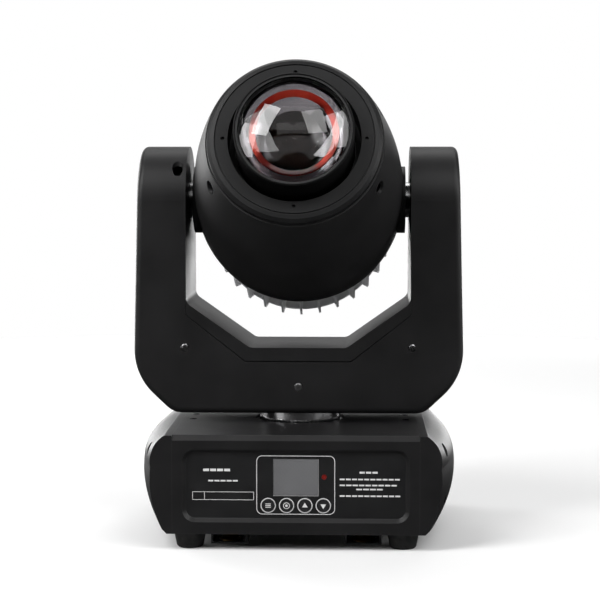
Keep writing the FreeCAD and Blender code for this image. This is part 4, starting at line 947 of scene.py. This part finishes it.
@dataclass
class ControlFace:
    """Prints, key rings and a painted highlight on the display window's edges behind the base's recess, in
    millimetres.
    """

    shop: Workshop
    face: float = field(init=False, default=0.0)
    ink: float = 0.08
    key_pitch: float = 14.4
    key_row: float = 33.5
    key_proud: float = 0.8
    key_ring: float = 6.0
    key_line: float = 0.75
    outline: tuple[float, float] = (61.6, 46.6)
    outline_line: float = 0.5
    outline_corner: float = 4.5
    outline_row: float = 49.7
    stroke: tuple[float, float] = (0.35, 6.2)
    stroke_row: float = 40.9
    list_bar: tuple[float, float] = (4.2, 0.6)
    list_step: float = 1.35
    dot_ring: tuple[float, float] = (2.6, 0.5)
    dot: float = 1.0
    arrow: float = 2.5
    # Size and place of the painted highlight bars on the display window's lower and right edges.
    lower_highlight: float = 0.35
    lower_highlight_drop: float = 0.25
    side_highlight: float = 0.25
    side_highlight_shift: float = 0.2
    highlight_lap: float = 0.1

    KEYS = ("menu_key", "enter_key", "up_key", "down_key")
    NOTES = (Dashes(-62.0, 61.4, 22.0, 2.0), Dashes(-57.0, 52.9, 24.0, 1.2),
             Dashes(-57.0, 37.8, 48.1, 0.35), Dashes(-57.0, 44.0, 48.1, 0.35),
             Dashes(57.0, 59.9, 15.0, 1.5), Dashes(57.9, 54.5, 47.8, 1.2),
             Dashes(56.7, 49.8, 45.5, 1.2), Dashes(57.7, 46.6, 21.5, 1.2),
             Dashes(58.1, 41.3, 48.2, 1.2))
    STROKES = (-81.0, -71.6, -33.0)

    def build(self) -> None:
        """Print the control face."""
        low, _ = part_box("control_panel")
        self.face = low.y / MM
        self._outline()
        self._rings()
        self._legends()
        self._icons()
        self._window_edge_highlight()

    def _seat(self, x: float, z: float, lift: float = 0.0) -> Matrix:
        """Place on the control face for a print drawn on the XY plane.

        Args:
            x: Across, in millimetres.
            z: Height, in millimetres.
            lift: Millimetres in front of the face.

        Returns:
            The matrix to use.
        """
        turn = Matrix.Rotation(QUARTER, 4, "X")
        return Matrix.Translation((x * MM, (self.face - lift) * MM, z * MM)) @ turn

    def _key_x(self, number: int) -> float:
        """Middle of a key across the face, counted from the left."""
        return self.key_pitch * (number - 1.5)

    def _bar(self, mesh: bmesh.types.BMesh, wide: float, tall: float, seat: Matrix) -> None:
        """Print one straight bar.

        Args:
            mesh: The print that it joins.
            wide: Its width in millimetres.
            tall: Its height in millimetres.
            seat: Its place.
        """
        join_into(mesh, flat_box(wide * MM, tall * MM, self.ink * MM), seat)

    def _outline(self) -> None:
        """Thin line round the display and the keys."""
        wide, tall = self.outline
        mesh = bmesh.new()
        line = frame_line(wide * MM, tall * MM, self.outline_line * MM, self.ink * MM,
                          self.outline_corner * MM)
        join_into(mesh, line, self._seat(0, self.outline_row))
        self.shop.piece(mesh, "display_outline", "white_print", "base")

    def _rings(self) -> None:
        """White rings round the keys."""
        mesh = bmesh.new()
        for number in range(len(self.KEYS)):
            ring = ring_line(self.key_ring * MM, self.key_line * MM, self.ink * MM)
            join_into(mesh, ring, self._seat(self._key_x(number), self.key_row))
        self.shop.piece(mesh, "key_rings", "white_print", "base")

    def _legends(self) -> None:
        """Plain ruled lines and boxes where the printed notes stand."""
        mesh = bmesh.new()
        for note in self.NOTES:
            for at, width in note.bars():
                self._bar(mesh, width, note.tall, self._seat(at, note.z))
        for x in self.STROKES:
            self._bar(mesh, *self.stroke, self._seat(x, self.stroke_row))
        self.shop.piece(mesh, "panel_legends", "white_print", "base")

    def _icons(self) -> None:
        """A plain sign on each key: list, dot in a ring, arrowheads up and down."""
        for number, body in enumerate(self.KEYS):
            seat = self._seat(self._key_x(number), self.key_row, self.key_proud)
            mesh = bmesh.new()
            if body == "menu_key":
                for step in (-1, 0, 1):
                    shift = Matrix.Translation((0, step * self.list_step * MM, 0))
                    self._bar(mesh, *self.list_bar, seat @ shift)
            elif body == "enter_key":
                radius, line = self.dot_ring
                join_into(mesh, ring_line(radius * MM, line * MM, self.ink * MM), seat)
                join_into(mesh, self._chip(self.dot, 24), seat)
            else:
                way = math.pi if body == "down_key" else 0.0
                join_into(mesh, self._chip(self.arrow, 3), seat @ Matrix.Rotation(way, 4, "Z"))
            self.shop.piece(mesh, f"{body}_sign", "white_print", body)

    def _chip(self, radius: float, corners: int) -> bmesh.types.BMesh:
        """A thin printed disc or triangle.

        Args:
            radius: Radius of its corners in millimetres.
            corners: How many corners.

        Returns:
            The chip's bmesh.
        """
        mesh = bmesh.new()
        bmesh.ops.create_cone(mesh, cap_ends=True, segments=corners, radius1=radius * MM,
                              radius2=radius * MM, depth=self.ink * MM,
                              matrix=Matrix.Translation((0, 0, self.ink * MM / 2)))
        return mesh

    def _window_edge_highlight(self) -> None:
        """Painted highlight: grey ink bars on the lower and right edges of the display window's rim, where
        its bevel catches the light.
        """
        low, high = (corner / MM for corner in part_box("lcd_window"))
        wide, tall = high.x - low.x + self.highlight_lap, high.z - low.z + self.highlight_lap
        mesh = bmesh.new()
        # Painted highlight along the window's lower and right edges.
        self._bar(mesh, wide, self.lower_highlight, self._seat(0, low.z - self.lower_highlight_drop))
        self._bar(mesh, self.side_highlight, tall, self._seat(high.x + self.side_highlight_shift, (low.z + high.z) / 2))
        self.shop.piece(mesh, "display_edge_highlight", "painted_highlight_ink", "base")


@dataclass(frozen=True)
class LensRing:
    """A ring about the lens axis: radius and depth behind the lens of each corner, in millimetres."""

    name: str
    finish: str
    corners: tuple[tuple[float, float], ...]

    def profile(self, back: float) -> list[tuple[float, float]]:
        """Corners in metres along the lens axis.

        Args:
            back: Distance from the tilt axis to the lens's back, in millimetres.

        Returns:
            Radius and distance along the axis; a ring clear of the axis closes on its first corner.
        """
        points = [(radius * MM, (back - depth) * MM) for radius, depth in self.corners]
        return points if self.corners[0][0] == 0.0 else points + points[:1]


@dataclass
class LensWorks:
    """Rings seen through the front lens, and a near-black core behind them that paints the shade inside
    the lamp.
    """

    shop: Workshop
    lens_back: float = 145.6
    steps: int = 96

    RINGS = (
        LensRing("lens_black_ring", "black_oxide", ((41.1, 0.8), (38.7, 0.8), (38.7, 6.0), (41.1, 6.0))),
        LensRing("lens_outer_reflector", "dark_reflector",
                 ((38.5, 1.0), (30.8, 4.5), (30.8, 6.0), (38.5, 6.0))),
        LensRing("lens_red_ring", "red_anodised", ((30.6, 4.3), (25.4, 6.6), (25.4, 8.4), (30.6, 8.4))),
        LensRing("lens_inner_reflector", "dark_reflector",
                 ((25.2, 6.4), (21.4, 9.0), (17.6, 12.2), (17.6, 14.0), (25.2, 14.0))),
        # Near-black disc behind the lens rings: painted shade of the lamp's dark inside.
        LensRing("lens_shade_core", "shade_core_glass",
                 ((0.0, 9.2), (6.0, 9.7), (12.0, 11.0), (17.4, 13.0), (17.4, 15.0), (0.0, 15.0))),
    )

    def build(self) -> None:
        """Seat the rings behind the lens, the widest first."""
        for ring in self.RINGS:
            mesh = bmesh.new()
            join_into(mesh, spun(ring.profile(self.lens_back), self.steps), head_place())
            self.shop.piece(mesh, ring.name, ring.finish, "head")


@dataclass
class Fasteners:
    """Cross-head screws of the yoke's covers, in millimetres from the tilt axis."""

    shop: Workshop
    screw: CrossScrew = CrossScrew(3.15 * MM, 1.5 * MM)
    seat_y: float = 42.4
    roll: float = 0.3

    SPOTS = ((-92.4, -119.0), (0.0, -151.0), (92.4, -119.0))

    def build(self) -> None:
        """Seat the screws in the front and the rear cover."""
        mesh = bmesh.new()
        for side in (-1, 1):
            for x, z in self.SPOTS:
                spot = Vector((x * MM, side * self.seat_y * MM, tilt_height() + z * MM))
                seat = Seat(spot, Vector((0, side, 0)), self.roll)
                join_into(mesh, self.screw.mesh(), seat.matrix())
        self.shop.piece(mesh, "yoke_cross_screws", "screw_steel", "yoke", "zinc_steel", ["yoke_screws"])


@dataclass
class MovingHead:
    """The whole lamp: finishes on the CAD nodes and the pieces added to them."""

    frame: dict
    finishes: Finishes

    PLAN = {
        "cover_plastic": "yoke_front_cover yoke_rear_cover head_cover_upper head_cover_lower",
        "base_plastic": "base_top_cover base_front_panel base_rear_panel base_end_cap_left "
                        "base_end_cap_right",
        "bezel_plastic": "front_bezel",
        "barrel_paint": "lens_barrel",
        "panel_film": "control_panel",
        "key_plastic": "button_menu button_enter button_up button_down",
        "red_window": "infrared_window",
        "display_film": "lcd_window",
        "green_board": "control_board lcd_module led_module",
        "socket_plastic": "power_inlet fuse_holder dmx_in_socket dmx_out_socket fan_rotor",
        "black_steel": "lock_rails rear_guard pan_motor tilt_motor effects_motors",
        "zinc_plate": "base_plate yoke_frame head_frame power_supply safety_loop tilt_bearings "
                      "pan_bearing guide_rods",
        "polished_steel": "pan_spindle",
        "hub_and_shaft": "tilt_hub_left tilt_hub_right",
        "screw_steel": "yoke_screws",
        "black_oxide": "head_screws lens_retainer",
        "yellow_zinc": "lock_receptacles",
        "cast_aluminium": "heat_sink",
        "turned_aluminium": "effects_plate focus_carriage pan_pulley tilt_pulley pan_motor_pulley "
                            "tilt_motor_pulley gobo_wheel",
        "color_filters": "color_wheel",
        "foot_rubber": "rubber_feet",
        "belt_rubber": "pan_belt tilt_belt",
        "front_glass": "front_lens",
        "inner_glass": "focus_lens",
    }

    def build(self) -> None:
        """Dress the frame and add the pieces."""
        self.finishes.dress(self.PLAN, self.frame["nodes"])
        shop = Workshop(self.finishes)
        for part in (ControlFace(shop), LensWorks(shop), Fasteners(shop)):
            part.build()
            LOG.info("built %s", type(part).__name__)


def main() -> None:
    """Build the studio and the lamp."""
    logging.basicConfig(level=logging.INFO, format="%(name)s: %(message)s")
    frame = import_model()
    Studio().build()
    finishes = Finishes()
    finishes.build()
    MovingHead(frame, finishes).build()


if __name__ == "__main__":
    main()
